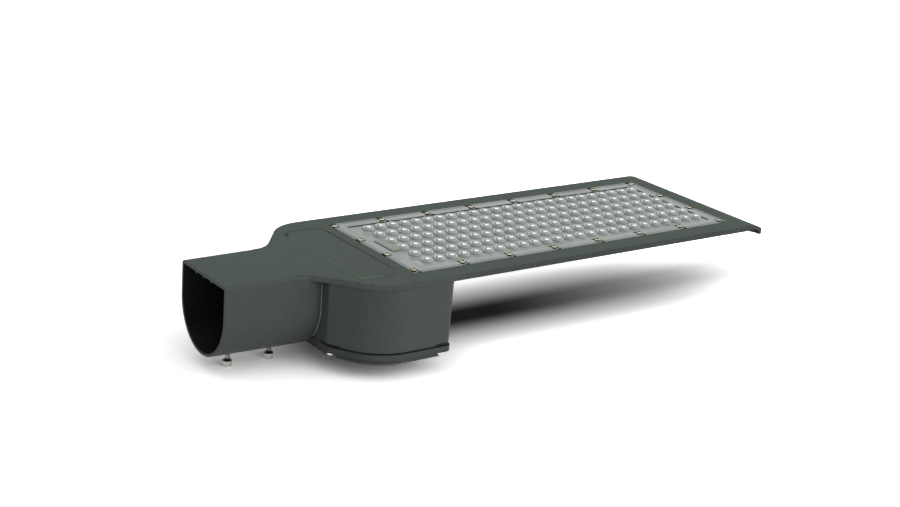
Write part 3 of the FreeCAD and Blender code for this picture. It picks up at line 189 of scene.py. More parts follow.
class Finish:
    """One material and its nodes."""

    def __init__(self, name):
        self.material = bpy.data.materials.new(name)
        self.material.use_nodes = True
        self.tree = self.material.node_tree
        self.tree.nodes.clear()
        self.output = self.tree.nodes.new("ShaderNodeOutputMaterial")
        self.place = self.node("ShaderNodeTexCoord", {}, output="Object")

    def node(self, kind, settings, *values, output=0, **named):
        """Adds a node, sets its settings, then fills its sockets in order or by name."""
        item = self.tree.nodes.new(kind)
        for name, value in settings.items():
            setattr(item, name, value)
        self.fill(zip(item.inputs, values))
        self.fill((item.inputs[name], value) for name, value in named.items())
        return Signal(self, item.outputs[output])

    def fill(self, pairs):
        """Links or sets each socket."""
        for socket, value in pairs:
            if isinstance(value, Signal):
                self.tree.links.new(value.socket, socket)
            else:
                socket.default_value = value

    def axes(self):
        split = self.node("ShaderNodeSeparateXYZ", {}, self.place)
        outputs = split.socket.node.outputs
        return [Signal(self, outputs[i]) for i in range(3)]

    def noise(self, scale, detail=3.0, roughness=0.5, at=None):
        values = {"Vector": at or self.place, "Scale": scale, "Detail": detail, "Roughness": roughness}
        return self.node("ShaderNodeTexNoise", {}, **values)

    def mix(self, share, first, second):
        item = self.tree.nodes.new("ShaderNodeMix")
        item.data_type = "RGBA"
        self.fill(((item.inputs[0], share), (item.inputs[6], first), (item.inputs[7], second)))
        return Signal(self, item.outputs[2])

    def bump(self, height, depth, strength=1.0, normal=None):
        named = {"Strength": strength, "Distance": depth, "Height": height}
        if normal is not None:
            named["Normal"] = normal
        return self.node("ShaderNodeBump", {}, **named)

    def principled(self, **named):
        values = {name.replace("_", " "): value for name, value in named.items()}
        shader = self.node("ShaderNodeBsdfPrincipled", {}, **values)
        self.tree.links.new(shader.socket, self.output.inputs["Surface"])
        return self.material


def colour(red, green, blue):
    """A linear colour from the three display values of a colour chart, 0 to 255."""
    def linear(value):
        share = value / 255
        return share / 12.92 if share <= 0.04045 else ((share + 0.055) / 1.055) ** 2.4
    return (linear(red), linear(green), linear(blue), 1.0)


def grey(level):
    """An even tone; over 1 it is brighter than white."""
    return (level, level, level, 1.0)


# Finishes

def off_panel_edge(x, y):
    """How far a place is from the rounded outline of the raised panel."""
    past_x = (x - PANEL_MIDDLE).size() - (PANEL_HALF_LENGTH - PANEL_CORNER)
    past_y = y.size() - (PANEL_HALF_WIDTH - PANEL_CORNER)
    corner = (past_x.most(0.0) * past_x.most(0.0) + past_y.most(0.0) * past_y.most(0.0)).root()
    return (corner + past_x.most(past_y).least(0.0) - PANEL_CORNER).size()


def joint_line_and_gap_shadow(x, y, z):
    """The dark joint between box and cover, with painted shadow where it gapes at the box's corners."""
    off_joint = (z - JOINT).size()
    front = x.fall(107 * MM, 109 * MM) * y.size().step(44 * MM, 46 * MM)
    back = x.step(192 * MM, 194 * MM) * y.size().step(93 * MM, 95 * MM)
    corner_gap_shadow = off_joint.fall(2.2 * MM, 2.6 * MM) * front.most(back)
    return off_joint.fall(0.5 * MM, 0.8 * MM).most(corner_gap_shadow) * x.within(98 * MM, 99 * MM, 214 * MM, 216 * MM)


def powder_coat():
    """Dark grey powder coat over a casting: fine grain, faint clouds, and painted light and shade: a
    greener tone painted on faces turned up on the flat light side, and painted shade on the skirt along the
    slab.
    """
    finish = Finish("powder_coat")
    x, y, z = finish.axes()
    clouds = finish.noise(9.0, detail=4.0)
    spots = finish.noise(260.0, detail=3.0, roughness=0.6)
    grain = finish.noise(900.0, detail=2.0, roughness=0.65)
    surface = finish.node("ShaderNodeNewGeometry", {}, output="Normal")
    up = finish.node("ShaderNodeSeparateXYZ", {}, surface, output=2)
    face = up.step(0.55, 0.95)
    # painted shade on the side faces of the skirt along the slab, beyond the box
    skirt_shade = x.step(205 * MM, 260 * MM)
    base = finish.mix(skirt_shade, colour(68, 72, 71), colour(50, 54, 53))
    # faces turned up take a greener tone of the same paint: painted light
    base = finish.mix(face, base, colour(56, 69, 61))
    shade = finish.mix(clouds.step(0.3, 0.7) * 0.5, base, colour(60, 66, 63))
    shade = finish.mix(spots.step(0.35, 0.75) * 0.3, shade, colour(76, 82, 79))

    # the panel's edge: a painted highlight along it towards the socket, and painted shade in the crease on
    # the far and lens sides
    off_edge = off_panel_edge(x, y)
    panel_end = PANEL_MIDDLE + PANEL_HALF_LENGTH
    shaded = x.step(panel_end - 5 * MM, panel_end - 3 * MM).most(y.step(60 * MM, 66 * MM))
    shaded = shaded * y.step(-70 * MM, -52 * MM)
    line = off_edge.fall(0.3 * MM, 1.0 * MM) * face * (1 - shaded) * x.fall(136 * MM, 158 * MM)
    crease_shade = off_edge.fall(0.4 * MM, 3.2 * MM) * face * shaded
    shade = finish.mix(line * 0.45, shade, colour(112, 128, 116))
    shade = finish.mix(crease_shade * 0.8, shade, colour(14, 18, 16))

    # the joint with the cover, with painted shadow where it gapes at the corners, and painted shade on the
    # underside of the curled end
    under_curl = x.step(598 * MM, 603 * MM) * up.fall(-0.5, 0.0)
    dark = joint_line_and_gap_shadow(x, y, z).most(under_curl)
    shade = finish.mix(dark * 0.9, shade, colour(10, 11, 10))

    # upright marks of the mould on the neck's edge
    scale = (900, 900, 160)
    stretch = finish.node("ShaderNodeMapping", {}, finish.place, (0, 0, 0), (0, 0, 0), scale)
    marks = finish.noise(1.0, detail=2.0, roughness=0.7, at=stretch).step(0.48, 0.62)
    on_neck = x.within(84 * MM, 96 * MM, 126 * MM, 150 * MM) * y.size().step(38 * MM, 44 * MM)
    on_neck = on_neck * (1 - face) * z.step(28.5 * MM, 30.5 * MM)
    shade = finish.mix(on_neck * (0.25 + marks * 0.4), shade, colour(92, 95, 94))

    height = grain + marks * on_neck * 3.0
    normal = finish.bump(height, 0.00012, 0.35, finish.bump(spots, 0.0002, 0.2))
    return finish.principled(
        Base_Color=shade, Roughness=0.52 + grain * 0.14, Normal=normal, Specular_IOR_Level=PAINT_SPECULAR,
    )


def cover_paint():
    """The cover's paint: dark at the joint, painted shade in the groove, and painted light from the floor
    below on the lower lip.
    """
    finish = Finish("cover_paint")
    z = finish.axes()[2]
    clouds = finish.noise(12.0, detail=4.0)
    grain = finish.noise(900.0, detail=2.0, roughness=0.65)
    base = finish.mix(clouds.step(0.3, 0.7), colour(58, 62, 60), colour(68, 72, 70))
    joint = z.step(JOINT - 0.9 * MM, JOINT - 0.5 * MM)
    below_rim = z - RIM_LOW
    # the groove takes painted shade, and the lower lip is painted lighter as if lit from the floor
    groove_shade = below_rim.within(-1.4 * MM, -1.1 * MM, -0.5 * MM, -0.1 * MM)
    lip_floor_light = below_rim.fall(-1.4 * MM, -1.1 * MM)
    shade = finish.mix(lip_floor_light, base, colour(76, 80, 78))
    shade = finish.mix(joint.most(groove_shade) * 0.9, shade, colour(10, 11, 10))
    normal = finish.bump(grain, 0.00012, 0.35)
    return finish.principled(
        Base_Color=shade, Roughness=0.55 + grain * 0.14, Normal=normal, Specular_IOR_Level=PAINT_SPECULAR,
    )


def cast_shadow_paint():
    """Painted shade inside the socket and the box: the same paint made near black and dull."""
    finish = Finish("thin_paint")
    clouds = finish.noise(30.0, detail=4.0)
    grain = finish.noise(700.0, detail=3.0, roughness=0.7)
    base = finish.mix(clouds.step(0.3, 0.7), colour(14, 17, 15), colour(24, 28, 25))
    normal = finish.bump(grain, 0.0003, 0.4)
    return finish.principled(
        Base_Color=base, Roughness=0.7 + grain * 0.2, Normal=normal, Specular_IOR_Level=PAINT_SPECULAR,
    )


def lens_plastic():
    """Moulded lens plate: a light rim, and a slightly green field over the lamp board."""
    finish = Finish("lens_plastic")
    z = finish.axes()[2]
    clouds = finish.noise(22.0, detail=3.0)
    mist = finish.noise(420.0, detail=2.0)
    rim = z.step(FACE - 0.3 * MM, FACE)
    field = finish.mix(clouds.step(0.35, 0.65), colour(126, 131, 127), colour(146, 148, 147))
    band = finish.mix(clouds.step(0.3, 0.7), colour(117, 122, 120), colour(135, 139, 138))
    shade = finish.mix(rim, field, band)
    normal = finish.bump(mist, 0.00008, 0.2)
    return finish.principled(Base_Color=shade, Roughness=0.24 + mist * 0.12, Normal=normal, IOR=PLASTIC_IOR)


def dome_plastic():
    """A lens dome: on its far half, a painted reflection arc and a painted shade arc round a painted
    highlight half-moon.
    """
    finish = Finish("dome_plastic")
    x, y = finish.axes()[:2]
    along = (x - COLUMN_FIRST) / COLUMN_PITCH
    across = (y - ROW_FIRST) / ROW_PITCH
    u = (along - along.rounded()) * (COLUMN_PITCH / DOME_LENGTH)
    v = (across - across.rounded()) * (ROW_PITCH / DOME_WIDTH)
    mist = finish.noise(420.0, detail=2.0)
    off_x = u + 0.14
    off_y = v + 0.30
    reach = (off_x * off_x + off_y * off_y).root()
    # only on each dome's far half: a painted reflection arc, a painted shade arc inside it and a painted
    # highlight half-moon
    far_half = (off_x * 0.36 + off_y * 0.93).step(-0.35, 0.10)
    cap = reach.fall(0.30, 0.38) * far_half.step(0.30, 0.55)
    shade_arc = reach.within(0.40, 0.46, 0.56, 0.64) * far_half
    reflection_arc = reach.within(0.58, 0.66, 0.86, 0.98) * far_half
    shade = finish.mix(shade_arc, colour(140, 144, 142), colour(92, 97, 94))
    shade = finish.mix(reflection_arc, shade, colour(188, 191, 190))
    shade = finish.mix(cap, shade, colour(254, 255, 253))
    normal = finish.bump(mist, 0.00006, 0.2)
    return finish.principled(Base_Color=shade, Roughness=0.16 + mist * 0.1, Normal=normal, IOR=PLASTIC_IOR)


def clear_edge():
    """Where the plate is clear and shows what lies under it: greenish grey."""
    finish = Finish("clear_edge")
    clouds = finish.noise(60.0, detail=3.0)
    base = finish.mix(clouds.step(0.3, 0.7), colour(112, 124, 112), colour(136, 148, 136))
    normal = finish.bump(finish.noise(300.0), 0.00008, 0.2)
    return finish.principled(Base_Color=base, Roughness=0.26 + clouds * 0.1, Normal=normal, IOR=PLASTIC_IOR)


def dark_recess():
    """Painted shade: near-black metal at the bottom of a screw's notch and in the slot behind it."""
    finish = Finish("dark_recess")
    clouds = finish.noise(200.0, detail=3.0)
    base = finish.mix(clouds, colour(8, 9, 8), colour(26, 29, 25))
    return finish.principled(Base_Color=base, Roughness=0.6 + clouds * 0.2, Specular_IOR_Level=0.1)


def plated(name, dark, light, roughness):
    """Plated steel with turning marks and slightly uneven plating."""
    finish = Finish(name)
    clouds = finish.noise(180.0, detail=4.0)
    stretch = finish.node("ShaderNodeMapping", {}, finish.place, (0, 0, 0), (0, 0, 0), (200, 200, 2600))
    lines = finish.noise(1.0, detail=2.0, at=stretch)
    base = finish.mix(clouds.step(0.25, 0.75), dark, light)
    normal = finish.bump(lines, 0.00005, 0.3)
    roughness = roughness + lines * 0.12
    return finish.principled(Base_Color=base, Metallic=1.0, Roughness=roughness, Normal=normal)


def banded(name, dark, light, low, high):
    """Plated steel with painted shade between two heights."""
    finish = Finish(name)
    z = finish.axes()[2]
    clouds = finish.noise(180.0, detail=4.0)
    base = finish.mix(clouds.step(0.25, 0.75), colour(*dark), colour(*light))
    in_shade = z.within(low - 0.2 * MM, low + 0.2 * MM, high - 0.3 * MM, high + 0.3 * MM)
    base = finish.mix(in_shade, base, colour(30, 31, 28))
    normal = finish.bump(finish.noise(1400.0, detail=2.0), 0.00004, 0.3)
    roughness = 0.24 + clouds * 0.1
    return finish.principled(Base_Color=base, Metallic=1.0, Roughness=roughness, Normal=normal)


def moulded(name, dark, light, roughness=0.5, grain=500.0, depth=0.00012, metallic=0.0):
    """Moulded plastic, rubber or plain sheet: soft clouds of colour and a fine grain."""
    finish = Finish(name)
    clouds = finish.noise(40.0, detail=4.0)
    fine = finish.noise(grain, detail=2.0)
    base = finish.mix(clouds.step(0.3, 0.7), dark, light)
    normal = finish.bump(fine, depth, 0.3)
    roughness = roughness + fine * 0.15
    return finish.principled(Base_Color=base, Metallic=metallic, Roughness=roughness, Normal=normal)


def circuit_board():
    """White solder mask with faint copper tracks under it."""
    finish = Finish("circuit_board")
    x, y = finish.axes()[:2]
    along = (x - COLUMN_FIRST) / COLUMN_PITCH
    across = (y - ROW_FIRST) / ROW_PITCH
    near_row = (across - across.rounded()).size()
    near_column = (along - along.rounded()).size()
    track = near_row.least(near_column).fall(0.42, 0.46)
    clouds = finish.noise(50.0, detail=3.0)
    mask = finish.mix(clouds, colour(214, 214, 208), colour(232, 231, 226))
    base = finish.mix(track * 0.35, mask, colour(198, 190, 168))
    normal = finish.bump(track, 0.00005, 0.5)
    return finish.principled(Base_Color=base, Roughness=0.35 + clouds * 0.15, Normal=normal)


FINISHES = {
    "paint": powder_coat(),
    "thin_paint": cast_shadow_paint(),
    "cover_paint": cover_paint(),
    "lens": lens_plastic(),
    "dome": dome_plastic(),
    "clear_edge": clear_edge(),
    "hood": moulded("hood_plastic", colour(102, 112, 100), colour(118, 128, 115), 0.3, 300.0, 0.00008),
    "disc": moulded("disc_plastic", colour(124, 131, 125), colour(140, 147, 141), 0.3, 300.0, 0.00008),
    # painted shade in the gutter round the band and at the hood's foot
    "painted_shade": moulded("seam_shade", colour(42, 46, 42), colour(70, 76, 70), 0.5),
    # painted shade: the dark line at the foot of the rim's raised outer lip
    "lip_line": moulded("lip_shade", colour(56, 60, 57), colour(76, 80, 77), 0.4),
    # painted highlight: the fillet bead is lighter than the casting's paint
    "bead_paint": moulded("bead_paint", colour(104, 112, 108), colour(122, 130, 126), 0.5, 700.0, 0.0001),
    "recess": dark_recess(),
    "screw": plated("screw_steel", colour(186, 176, 112), colour(238, 232, 184), 0.24),
    # painted shade on the lens screws below the face, and in a band above the clamp bolts' seat
    "lens_screw": banded(
        "lens_screw_steel", (206, 200, 150), (250, 247, 222), FACE - 10 * MM, FACE + 0.6 * MM,
    ),
    # painted shade: the dark cross in the screw heads
    "screw_slot": moulded("slot_shade", colour(36, 26, 10), colour(64, 46, 18), 0.5),
    "bolt": plated("cover_screw_steel", colour(205, 212, 200), colour(244, 248, 240), 0.16),
    "clamp_bolt": banded(
        "clamp_bolt_steel", (176, 183, 174), (226, 232, 222), BOLT_SEAT - 0.3 * MM, BOLT_SEAT + 2.2 * MM,
    ),
    "brass": plated("brass", colour(166, 132, 66), colour(208, 178, 108), 0.28),
    "driver_case": moulded(
        "driver_case", colour(146, 149, 150), colour(170, 172, 173), 0.38, 300.0, 0.0001, metallic=0.9,
    ),
    "silicone": moulded("silicone", colour(188, 188, 182), colour(206, 206, 200), 0.55),
    "rubber": moulded("seal_rubber", colour(20, 20, 20), colour(34, 34, 34), 0.62),
    "board": circuit_board(),
    "chip": moulded("lamp_phosphor", colour(226, 196, 96), colour(240, 216, 132), 0.4),
    "white_plastic": moulded("white_plastic", colour(214, 214, 208), colour(230, 230, 226), 0.42),
    "terminal": moulded("terminal_plastic", colour(196, 198, 196), colour(214, 216, 214), 0.45),
    "surge": moulded("surge_plastic", colour(30, 31, 33), colour(44, 45, 48), 0.45),
    "gland": moulded("gland_plastic", colour(22, 22, 22), colour(36, 36, 36), 0.45),
    "sheath": moulded("lead_sheath", colour(24, 24, 24), colour(38, 38, 38), 0.5),
}

HIDDEN_NODES = {
    "lens_gasket": "silicone",
    "led_board": "board",
    "led_chips": "chip",
    "board_connector": "white_plastic",
    "cover_seal": "rubber",
    "led_driver": "driver_case",
    "terminal_block": "terminal",
    "surge_protector": "surge",
    "gland_seal": "rubber",
    "output_lead": "sheath",
    "input_lead": "sheath",
    "lead_grommet": "rubber",
}


# Making pieces

def link(name, mesh):
    item = bpy.data.objects.new(name, mesh)
    bpy.context.scene.collection.objects.link(item)
    return item


def settle(item):
    """Turns an object with modifiers, or a curve, into a plain mesh object."""
    evaluated = item.evaluated_get(bpy.context.evaluated_depsgraph_get())
    mesh = bpy.data.meshes.new_from_object(evaluated)
    name = item.name
    bpy.data.objects.remove(item)
    return link(name, mesh)


def smooth(mesh, degrees):
    mesh.shade_smooth()
    mesh.set_sharp_from_angle(angle=math.radians(degrees))


def even_shading(item):
    """Leans each corner's normal to its largest face, so that flats stay flat next to round edges."""
    weigh = item.modifiers.new("even", "WEIGHTED_NORMAL")
    weigh.keep_sharp = True
    weigh.weight = 80
    return settle(item)


def merged_copy(node, name, smooth_angle=34.0, edge=0.0, edge_angle=40.0):
    """A copy of a CAD node with its doubles merged, its flat faces joined and its edges softened."""
    mesh = NODES[node].data.copy()
    mesh.materials.clear()
    shape = bmesh.new()
    shape.from_mesh(mesh)
    bmesh.ops.remove_doubles(shape, verts=shape.verts, dist=SAME_PLACE)
    bmesh.ops.dissolve_limit(
        shape, angle_limit=math.radians(0.6), verts=shape.verts, edges=shape.edges, delimit={"NORMAL"},
    )
    shape.to_mesh(mesh)
    shape.free()
    item = link(name, mesh)
    if edge:
        bevel = item.modifiers.new("edges", "BEVEL")
        bevel.width = edge
        bevel.segments = 2
        bevel.limit_method = "ANGLE"
        bevel.angle_limit = math.radians(edge_angle)
        bevel.use_clamp_overlap = False
        bevel.miter_outer = "MITER_ARC"
        item = settle(item)
    smooth(item.data, smooth_angle)
    return even_shading(item) if edge else item


def node_centres(node):
    """The upright axes of a node's like pieces, from their corners."""
    shape = bmesh.new()
    shape.from_mesh(NODES[node].data)
    bmesh.ops.remove_doubles(shape, verts=shape.verts, dist=SAME_PLACE)
    left = set(shape.verts)
    centres = []
    while left:
        piece = {left.pop()}
        edge = set(piece)
        while edge:
            edge = {other for vertex in edge for line in vertex.link_edges for other in line.verts} & left
            left -= edge
            piece |= edge
        xs = [vertex.co.x for vertex in piece]
        ys = [vertex.co.y for vertex in piece]
        centres.append(((min(xs) + max(xs)) / 2, (min(ys) + max(ys)) / 2))
    shape.free()
    return sorted(centres)


def turned(name, profile, sides=32):
    """A solid turned from (radius, height) points, closed on its axis."""
    shape = bmesh.new()
    rings = []
    for radius, height in profile:
        if radius <= 0:
            rings.append([shape.verts.new((0, 0, height))])
            continue
        turns = [2 * math.pi * i / sides for i in range(sides)]
        rings.append([shape.verts.new((radius * math.cos(t), radius * math.sin(t), height)) for t in turns])
    for low, high in zip(rings, rings[1:]):
        for i in range(sides):
            k = (i + 1) % sides
            corners = [low[i % len(low)], low[k % len(low)], high[k % len(high)], high[i % len(high)]]
            corners = [corner for j, corner in enumerate(corners) if corner not in corners[:j]]
            if len(corners) > 2:
                shape.faces.new(corners)
    bmesh.ops.recalc_face_normals(shape, faces=shape.faces)
    mesh = bpy.data.meshes.new(name)
    shape.to_mesh(mesh)
    shape.free()
    return mesh


def in_mm(profile):
    return [(radius * MM, height * MM) for radius, height in profile]


def repeat_tree(name):
    """Geometry nodes: one shape on every point, turned by chance from a fixed seed, with its finish."""
    tree = bpy.data.node_groups.new(name, "GeometryNodeTree")
    face = tree.interface
    face.new_socket("Places", in_out="INPUT", socket_type="NodeSocketGeometry")
    face.new_socket("Shape", in_out="INPUT", socket_type="NodeSocketObject")
    face.new_socket("Finish", in_out="INPUT", socket_type="NodeSocketMaterial")
    face.new_socket("Turn", in_out="INPUT", socket_type="NodeSocketFloat")
    face.new_socket("Seed", in_out="INPUT", socket_type="NodeSocketInt")
    face.new_socket("Pieces", in_out="OUTPUT", socket_type="NodeSocketGeometry")
    nodes, links = tree.nodes, tree.links
    start = nodes.new("NodeGroupInput")
    end = nodes.new("NodeGroupOutput")
    shape = nodes.new("GeometryNodeObjectInfo")
    chance = nodes.new("FunctionNodeRandomValue")
    turn = nodes.new("ShaderNodeCombineXYZ")
    place = nodes.new("GeometryNodeInstanceOnPoints")
    real = nodes.new("GeometryNodeRealizeInstances")
    coat = nodes.new("GeometryNodeSetMaterial")
    chance.data_type = "FLOAT"
    links.new(start.outputs["Shape"], shape.inputs["Object"])
    links.new(start.outputs["Turn"], chance.inputs[3])
    links.new(start.outputs["Seed"], chance.inputs["Seed"])
    links.new(chance.outputs[1], turn.inputs["Z"])
    links.new(start.outputs["Places"], place.inputs["Points"])
    links.new(shape.outputs["Geometry"], place.inputs["Instance"])
    links.new(turn.outputs[0], place.inputs["Rotation"])
    links.new(place.outputs[0], real.inputs[0])
    links.new(real.outputs[0], coat.inputs["Geometry"])
    links.new(start.outputs["Finish"], coat.inputs["Material"])
    links.new(coat.outputs[0], end.inputs[0])
    return tree


def socket_of(tree, name):
    return next(item.identifier for item in tree.interface.items_tree if item.name == name)


def repeated(name, mesh, places, finish, turn=0.0, seed=1):
    """One mesh on every place, as one plain piece."""
    tree = repeat_tree(name + "_repeat")
    points = bpy.data.meshes.new(name)
    points.from_pydata([tuple(place) for place in places], [], [])
    item = link(name, points)
    pattern = bpy.data.objects.new(name + "_pattern", mesh)
    bpy.context.scene.collection.objects.link(pattern)
    repeat = item.modifiers.new("repeat", "NODES")
    repeat.node_group = tree
    repeat[socket_of(tree, "Shape")] = pattern
    repeat[socket_of(tree, "Finish")] = FINISHES[finish]
    repeat[socket_of(tree, "Turn")] = turn
    repeat[socket_of(tree, "Seed")] = seed
    item = settle(item)
    bpy.data.objects.remove(pattern)
    return item


def wear(item, slot, *nodes, finish=None):
    """Gives a piece its finish, hangs it on the root body and hides the CAD nodes it stands for; slot is
    not used.
    """
    if finish:
        item.data.materials.clear()
        item.data.materials.append(FINISHES[finish])
    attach(item, "root")
    if nodes:
        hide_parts(*nodes)
    return item


# Housing and cover

def draw_in_mouth(mesh):
    """Tapers the socket's last stretch and leans its mouth back, as a cast socket does."""
    for vertex in mesh.vertices:
        place = vertex.co
        if place.x < MOUTH_TAPER:
            share = min((MOUTH_TAPER - place.x) / MOUTH_TAPER, 1.0) ** 1.5
            place.x += MOUTH_LEAN * (FACE - place.z) * share
            place.y *= 1 - MOUTH_NARROW * share
            if place.z < 0:
                place.z *= 1 - MOUTH_RAISE * share


def make_housing():
    """The casting: painted outside, with painted shade on the faces inside the socket."""
    item = merged_copy("housing", "casting", edge=0.45 * MM)
    mesh = item.data
    draw_in_mouth(mesh)
    mesh.materials.append(FINISHES["paint"])
    mesh.materials.append(FINISHES["thin_paint"])
    for face in mesh.polygons:
        place = face.center
        # faces inside the socket that turn towards its axis take the painted shade
        inside = place.x < BOX_FRONT and abs(place.y) < SOCKET_INNER_HALF and place.z < FACE - 1.5 * MM
        inward = face.normal.y * place.y + face.normal.z * (place.z + 6 * MM) < 0
        face.material_index = 1 if inside and inward and face.normal.x > -0.7 else 0
    return wear(item, "housing_paint", "housing")


def make_beads(casting):
    """The fillet where the socket meets the box, on both sides, down to the cover's rim, painted lighter as
    its highlight.
    """
    path = []
    for height in (25.0, 14.0, 6.0, -1.0, -7.0, -12.0, -17.0, -22.0, -27.0, -32.0):
        start = (BOX_FRONT - 0.9 * MM, -80 * MM, height * MM)
        met, place, _, _ = casting.ray_cast(start, (0, 1, 0))
        path.append((place.y - 0.1 * MM if met else -SOCKET_HALF, height * MM))
    shape = bpy.data.curves.new("socket_beads", "CURVE")
    shape.dimensions = "3D"
    shape.bevel_depth = 0.55 * MM
    shape.bevel_resolution = 2
    shape.use_fill_caps = True
    for side in (1, -1):
        line = shape.splines.new("NURBS")
        line.points.add(len(path) - 1)
        for point, (y, z) in zip(line.points, path):
            point.co = (BOX_FRONT - 0.1 * MM, side * y, z, 1.0)
        line.order_u = 3
        line.use_endpoint_u = True
    item = settle(link("socket_beads", shape))
    smooth(item.data, 60.0)
    wear(item, "housing_paint", finish="bead_paint")


def make_cover():
    """The tray, with the lower lip of its raised middle drawn out and down."""
    item = merged_copy("driver_cover", "cover_tray", edge=0.5 * MM)
    middle = (COVER_LOW.x + COVER_HIGH.x) / 2
    for vertex in item.data.vertices:
        place = vertex.co
        if place.z < COVER_LIP_START:
            place.x += math.copysign(COVER_LIP_ALONG, place.x - middle)
            place.y += math.copysign(COVER_LIP_ACROSS, place.y)
            place.z -= COVER_LIP_DROP
    wear(item, "housing_paint", "driver_cover", finish="cover_paint")


# Lens plate

def screw_lines():
    """Where the lens screws stand: along the two long sides, and across the two short ones."""
    places = node_centres("lens_screws")
    side = [x for x, y in places if y < -60 * MM]
    end = sorted({round(y, 5) for x, y in places if abs(y) < 60 * MM})
    return side, end


SIDE_SCREWS, END_SCREWS = screw_lines()

# The notches round the screws, and the slot behind each one on the long sides; the slots and the notches'
# mouths take painted shade
NOTCH_HALF = 4.0 * MM
NOTCH_MOUTH = 2.4 * MM
SIDE_NOTCH = 11.2 * MM
END_NOTCH = 8.0 * MM
SLOT_HALF = NOTCH_HALF + 1.4 * MM

# How far in from the plate's edge each stretch of its rim ends
LIP = 1.7 * MM
LIP_LINE = 3.4 * MM
BAND_WIDTH = 13.0 * MM
GUTTER = 13.8 * MM
STRIP = 17.0 * MM

# The plate's levels besides its field and its band
LIP_TOP = BAND + 0.1 * MM
NOTCH_SHELF = FACE - 0.9 * MM
GUTTER_LOW = FACE - 1.6 * MM
SLOT_LOW = FACE - 2.0 * MM
NOTCH_LOW = FACE - 2.4 * MM
PLATE_BASE = FACE - 2.9 * MM


def near(value, places, half):
    return any(abs(value - place) < half for place in places)


def plate_level(x, y):
    """The height and the finish of the lens plate at a place."""
    in_x = min(x - LENS_LOW.x, LENS_HIGH.x - x)
    in_y = min(y - LENS_LOW.y, LENS_HIGH.y - y)
    inset = min(in_x, in_y)
    side_notch = in_y < SIDE_NOTCH and near(x, SIDE_SCREWS, NOTCH_HALF)
    end_notch = in_x < END_NOTCH and near(y, END_SCREWS, NOTCH_HALF)
    if side_notch or end_notch:
        # the notch's mouth takes painted shade, its shelf the clear edge
        mouth = (in_y if side_notch else in_x) < NOTCH_MOUTH
        return (NOTCH_LOW, "recess") if mouth else (NOTCH_SHELF, "clear_edge")
    if SIDE_NOTCH < in_y < GUTTER < in_x and near(x, SIDE_SCREWS, SLOT_HALF):
        return SLOT_LOW, "recess"
    if inset < LIP:
        return LIP_TOP, "lens"
    if inset < LIP_LINE:
        return BAND, "lip_line"
    if inset < BAND_WIDTH:
        return BAND, "lens"
    if inset < GUTTER:
        return GUTTER_LOW, "painted_shade"
    if inset < STRIP:
        return FIELD, "clear_edge"
    return FIELD, "lens"


def steps_of(low, high, screws):
    """The lines at which the plate's level can change, along one of its sides."""
    lines = {low, high}
    for mark in (NOTCH_MOUTH, END_NOTCH, SIDE_NOTCH, LIP, LIP_LINE, BAND_WIDTH, GUTTER, STRIP):
        lines |= {low + mark, high - mark}
    for screw in screws:
        lines |= {screw - SLOT_HALF, screw - NOTCH_HALF, screw + NOTCH_HALF, screw + SLOT_HALF}
    lines = sorted(line for line in lines if low <= line <= high)
    return [line for line, after in zip(lines, lines[1:] + [math.inf]) if after - line > 0.01 * MM]


def make_lens_plate():
    """The plate as level fields with upright steps between them, closed below."""
    xs = steps_of(LENS_LOW.x, LENS_HIGH.x, SIDE_SCREWS)
    ys = steps_of(LENS_LOW.y, LENS_HIGH.y, END_SCREWS)
    names = ["lens", "clear_edge", "painted_shade", "recess", "lip_line"]
    cells = {}
    for i, (x, next_x) in enumerate(zip(xs, xs[1:])):
        for j, (y, next_y) in enumerate(zip(ys, ys[1:])):
            cells[i, j] = plate_level((x + next_x) / 2, (y + next_y) / 2)
    shape = bmesh.new()

    def quad(corners, finish):
        face = shape.faces.new([shape.verts.new(corner) for corner in corners])
        face.material_index = names.index(finish)

    for (i, j), (level, finish) in cells.items():
        x, next_x, y, next_y = xs[i], xs[i + 1], ys[j], ys[j + 1]
        around = ((x, y), (next_x, y), (next_x, next_y), (x, next_y))
        quad([(*corner, level) for corner in around], finish)
        quad([(*corner, PLATE_BASE) for corner in reversed(around)], "lens")
        edges = (
            ((1, 0), (next_x, y), (next_x, next_y)),
            ((-1, 0), (x, next_y), (x, y)),
            ((0, 1), (next_x, next_y), (x, next_y)),
            ((0, -1), (x, y), (next_x, y)),
        )
        for (step_i, step_j), start, end in edges:
            other, other_finish = cells.get((i + step_i, j + step_j), (PLATE_BASE, finish))
            if level > other + 0.001 * MM:
                # a wall down to a field of painted shade takes that painted shade too
                wall = other_finish if other_finish in ("painted_shade", "recess") else finish
                quad([(*start, other), (*end, other), (*end, level), (*start, level)], wall)
    bmesh.ops.remove_doubles(shape, verts=shape.verts, dist=0.001 * MM)
    mesh = bpy.data.meshes.new("lens_sheet")
    shape.to_mesh(mesh)
    shape.free()
    for name in names:
        mesh.materials.append(FINISHES[name])
    wear(link("lens_sheet", mesh), "lens", "lens_plate")


def slab(name, low, high, round_edge):
    """A box with soft edges between two corners."""
    shape = bmesh.new()
    bmesh.ops.create_cube(shape, size=1.0)
    for vertex in shape.verts:
        vertex.co = Vector([high[i] if vertex.co[i] > 0 else low[i] for i in range(3)])
    edges = list(shape.edges)
    bmesh.ops.bevel(shape, geom=edges, offset=round_edge, segments=3, profile=0.5, affect="EDGES")
    mesh = bpy.data.meshes.new(name)
    shape.to_mesh(mesh)
    shape.free()
    smooth(mesh, 40.0)
    return link(name, mesh)


